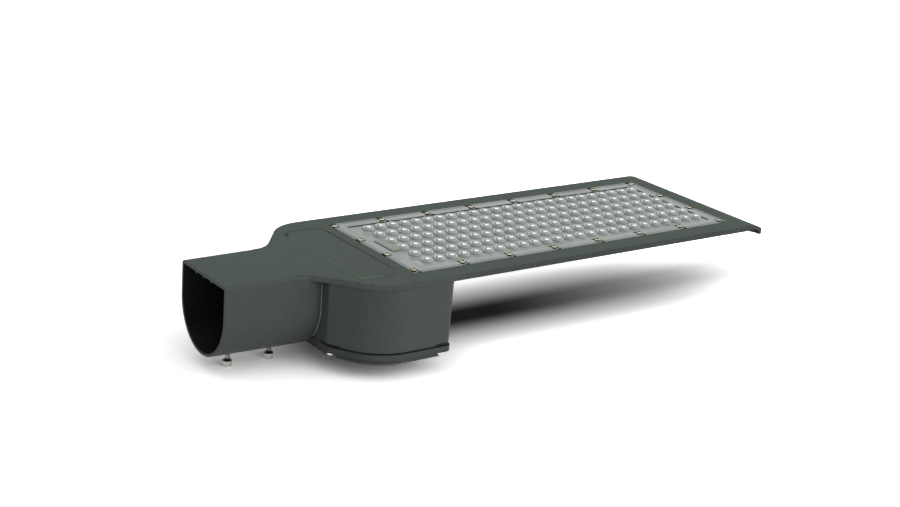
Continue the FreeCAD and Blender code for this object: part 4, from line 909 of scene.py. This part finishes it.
def make_lens_hood():
    """The low clear hood over the lamp board's plug, and painted shade at its foot."""
    start, end = HOOD_MIDDLE - HOOD_HALF_LENGTH, HOOD_MIDDLE + HOOD_HALF_LENGTH
    half, foot_half = HOOD_HALF_WIDTH, HOOD_HALF_WIDTH - 1 * MM
    root = FIELD - 0.5 * MM
    hood = slab("plug_hood", (start, -half, root), (end, half, HOOD_TOP), 0.6 * MM)
    foot_low = (start - 0.5 * MM, -foot_half, root)
    foot_high = (start + 1 * MM, foot_half, FIELD + 0.7 * MM)
    foot = slab("plug_hood_foot", foot_low, foot_high, 0.1 * MM)
    wear(hood, "lens", finish="hood")
    wear(foot, "lens", finish="painted_shade")


def make_board_discs():
    """Clear rounds over the board's screws."""
    places = [(x, y, FIELD) for x, y in node_centres("board_screws")]
    profile = [(0.0, -0.6), (5.0, -0.6), (5.0, 0.2), (4.5, 0.5), (0.0, 0.6)]
    mesh = turned("board_disc", in_mm(profile), sides=20)
    smooth(mesh, 40.0)
    wear(repeated("board_discs", mesh, places, "disc"), "lens")


def lamp_places():
    return [
        (COLUMN_FIRST + COLUMN_PITCH * i, ROW_FIRST + ROW_PITCH * j, FIELD)
        for i in range(COLUMNS) for j in range(ROWS)
    ]


def make_domes():
    """Low oval lenses over the lamps, turned on a radius of 1 and then drawn to their size."""
    profile = [
        (0.0, -0.4), (1.0, -0.4), (1.0, 0.2), (0.975, 1.0), (0.92, 1.8), (0.82, 2.5), (0.68, 3.0),
        (0.5, 3.25), (0.25, 3.36), (0.0, 3.38),
    ]
    mesh = turned("dome", [(radius, height * MM) for radius, height in profile], sides=16)
    for vertex in mesh.vertices:
        vertex.co.x *= DOME_LENGTH
        vertex.co.y *= DOME_WIDTH
    smooth(mesh, 60.0)
    wear(repeated("lens_domes", mesh, lamp_places(), "dome"), "lens")


# Screws and bolts

def pan_head(name, radius, height, shank, length, way=1):
    """A pan head on a plain shank, its seat at height 0; way is -1 with the head down."""
    profile = [
        (0.0, -length), (shank, -length), (shank, 0.0), (radius * 0.96, 0.0), (radius, height * 0.2),
        (radius * 0.98, height * 0.55), (radius * 0.84, height * 0.85), (radius * 0.6, height * 0.97),
        (0.0, height),
    ]
    mesh = turned(name, profile, sides=20)
    for vertex in mesh.vertices:
        vertex.co.z *= way
    if way < 0:
        mesh.flip_normals()
    smooth(mesh, 40.0)
    return mesh


def cross_slot(name, reach, half, low, high):
    """The cross in a screw's head, as a dark inlay of painted shade."""
    corners = [
        (half, half), (half, reach), (-half, reach), (-half, half), (-reach, half), (-reach, -half),
        (-half, -half), (-half, -reach), (half, -reach), (half, -half), (reach, -half), (reach, half),
    ]
    shape = bmesh.new()
    rings = [[shape.verts.new((x, y, z)) for x, y in corners] for z in sorted((low, high))]
    shape.faces.new(rings[1])
    shape.faces.new(list(reversed(rings[0])))
    for i in range(len(corners)):
        k = (i + 1) % len(corners)
        shape.faces.new([rings[0][i], rings[0][k], rings[1][k], rings[1][i]])
    bmesh.ops.recalc_face_normals(shape, faces=shape.faces)
    mesh = bpy.data.meshes.new(name)
    shape.to_mesh(mesh)
    shape.free()
    return mesh


def make_lens_screws():
    """The plate's screws, and the cross of painted shade in each head."""
    places = [(x, y, FACE - 0.8 * MM) for x, y in node_centres("lens_screws")]
    chance = {"turn": math.pi / 2, "seed": 4}
    head = pan_head("lens_screw", 2.5 * MM, 2.3 * MM, 1.5 * MM, 8.0 * MM)
    wear(repeated("lens_screw_heads", head, places, "lens_screw", **chance), "steel", "lens_screws")
    slot = cross_slot("lens_screw_slot", 1.6 * MM, 0.65 * MM, 1.9 * MM, 2.4 * MM)
    wear(repeated("lens_screw_slots", slot, places, "screw_slot", **chance), "steel")


def make_cover_screws():
    """The cover's screws, each on a low round pad."""
    centres = node_centres("cover_screws")
    top, low = 1.0 * MM, -PAD_HEIGHT
    radius, edge = 4.6 * MM, 0.4 * MM
    profile = [(0.0, top), (radius, top), (radius, low + edge), (radius - edge, low), (0.0, low)]
    pad = turned("cover_screw_pad", profile)
    places = [(x, y, RIM_LOW) for x, y in centres]
    wear(repeated("cover_screw_pads", pad, places, "cover_paint"), "housing_paint")
    places = [(x, y, RIM_LOW - PAD_HEIGHT) for x, y in centres]
    chance = {"turn": math.pi / 2, "seed": 7}
    head = pan_head("cover_screw", 3.4 * MM, 2.95 * MM, 2.0 * MM, 14.0 * MM, way=-1)
    wear(repeated("cover_screw_heads", head, places, "bolt", **chance), "steel", "cover_screws")
    slot = cross_slot("cover_screw_slot", 1.9 * MM, 0.5 * MM, -2.5 * MM, -2.98 * MM)
    wear(repeated("cover_screw_slots", slot, places, "screw_slot", **chance), "steel")


def make_clamp_bolts():
    """Socket-head bolts: chamfered heads and cut threads. Heights are from the bolt's lowest point."""
    length = (BOLTS_HIGH.z - BOLTS_LOW.z) / MM
    seat = BOLT_HEAD / MM
    head, shank, pitch, cut = 4.9, 3.0, 1.0, 0.35
    profile = [
        (0.0, 3.0), (2.5, 3.0), (2.7, 0.25), (2.9, 0.0), (head - 0.5, 0.0), (head, 0.5),
        (head, seat - 0.4), (head - 0.3, seat), (3.3, seat), (shank - 0.2, seat + 0.3),
    ]
    height = seat + 1.4
    while height < length - pitch:
        profile += [(shank - cut, height), (shank, height + pitch * 0.5)]
        height += pitch
    profile += [(shank - cut, height), (shank - 2 * cut, length), (0.0, length)]
    mesh = turned("clamp_bolt", in_mm(profile), sides=28)
    smooth(mesh, 34.0)
    places = [(x, y, BOLTS_LOW.z) for x, y in node_centres("clamp_bolts")]
    wear(repeated("bolts", mesh, places, "clamp_bolt"), "bolt_steel", "clamp_bolts")


def make_inner_screws():
    """Screws that hold the board, the driver and the earth wire."""
    dressed = (
        ("board_screws", "steel", "screw"),
        ("driver_screws", "steel", "screw"),
        ("earth_screw", "brass", "brass"),
        ("earth_washer", "brass", "brass"),
    )
    for node, slot, finish in dressed:
        item = merged_copy(node, node + "_round", smooth_angle=50.0)
        wear(item, slot, node, finish=finish)


def make_gland():
    for node in ("gland_body", "gland_nut", "gland_cap"):
        item = merged_copy(node, node + "_round", smooth_angle=40.0, edge=0.3 * MM, edge_angle=50.0)
        wear(item, "gland", node, finish="gland")


# Floor, light and camera

def white_paths(finish):
    """1 for rays that show the background: straight, in a reflection or through glass."""
    path = finish.node("ShaderNodeLightPath", {})
    names = ("Is Camera Ray", "Is Glossy Ray", "Is Transmission Ray")
    seen, glossy, clear = [Signal(finish, path.socket.node.outputs[name]) for name in names]
    return seen.most(glossy).most(clear)


def floor_tones(finish):
    """The floor as seen: white, with a painted shadow under the head that fades towards its free end, and
    painted light beside it that whitens the shade there.
    """
    x, y = finish.axes()[:2]
    off_middle = (y - 14 * MM).size()
    depth = 0.97 - 0.40 * x.step(340 * MM, 580 * MM) - 0.57 * x.step(600 * MM, 760 * MM)
    painted_floor_shadow = depth * x.step(170 * MM, 220 * MM) * off_middle.fall(8 * MM, 62 * MM)
    painted_light_beside = x.step(200 * MM, 300 * MM) * off_middle.step(50 * MM, 90 * MM)
    return finish.mix(painted_floor_shadow, finish.mix(painted_light_beside, grey(1.36), grey(2.2)), grey(0.0))


def make_floor():
    """A wide white floor at the level of the lowest bolt head."""
    reach, level = 12.0, CAD_LOW.z
    corners = [(-reach, -reach), (reach, -reach), (reach, reach), (-reach, reach)]
    mesh = bpy.data.meshes.new("floor")
    mesh.from_pydata([(x, y, level) for x, y in corners], [], [(0, 1, 2, 3)])
    floor = link("floor", mesh)
    finish = Finish("white_floor")
    seen = finish.node("ShaderNodeBsdfDiffuse", {}, floor_tones(finish))
    plain = finish.node("ShaderNodeBsdfDiffuse", {}, grey(0.55))
    shader = finish.node("ShaderNodeMixShader", {}, white_paths(finish), plain, seen)
    finish.tree.links.new(shader.socket, finish.output.inputs["Surface"])
    mesh.materials.append(finish.material)


class Sky(Finish):
    """The world's nodes, written in the same way as a material's."""

    def __init__(self, world):
        world.use_nodes = True
        self.tree = world.node_tree
        self.tree.nodes.clear()
        self.output = self.tree.nodes.new("ShaderNodeOutputWorld")
        self.place = self.node("ShaderNodeTexCoord", {}, output="Generated")


def make_light():
    """A soft sky, brightest overhead, with a low softbox on the near side towards the free end."""
    world = bpy.data.worlds.new("studio")
    bpy.context.scene.world = world
    sky = Sky(world)
    x, y, z = sky.axes()
    overhead = z.most(0.0)
    toward_box = (x * 0.45 + z * 0.33 - y * 0.83).most(0.0).power(4.0)
    strength = 0.10 + overhead * 0.98 + toward_box * 2.6
    light = sky.node("ShaderNodeBackground", {}, grey(1.0), strength)
    white = sky.node("ShaderNodeBackground", {}, grey(1.0), 1.0)
    shader = sky.node("ShaderNodeMixShader", {}, white_paths(sky), light, white)
    sky.tree.links.new(shader.socket, sky.output.inputs["Surface"])


def make_camera():
    camera = bpy.data.cameras.new("camera")
    camera.sensor_width = 36.0
    camera.lens = CAMERA_LENS
    camera.clip_start = 0.05
    camera.clip_end = 60.0
    item = link("camera", camera)
    up = -CAMERA_DOWN
    back = CAMERA_RIGHT.cross(up)
    turn = Matrix((CAMERA_RIGHT, up, back)).transposed().to_4x4()
    item.matrix_world = Matrix.Translation(CAMERA_PLACE) @ turn
    bpy.context.scene.camera = item


def dress_hidden():
    for node, finish in HIDDEN_NODES.items():
        mesh = NODES[node].data
        mesh.materials.clear()
        mesh.materials.append(FINISHES[finish])


make_camera()
make_floor()
make_light()
dress_hidden()
make_beads(make_housing())
make_cover()
make_lens_plate()
make_lens_hood()
make_board_discs()
make_domes()
make_lens_screws()
make_cover_screws()
make_clamp_bolts()
make_inner_screws()
make_gland()

bpy.context.scene.view_settings.view_transform = "Standard"
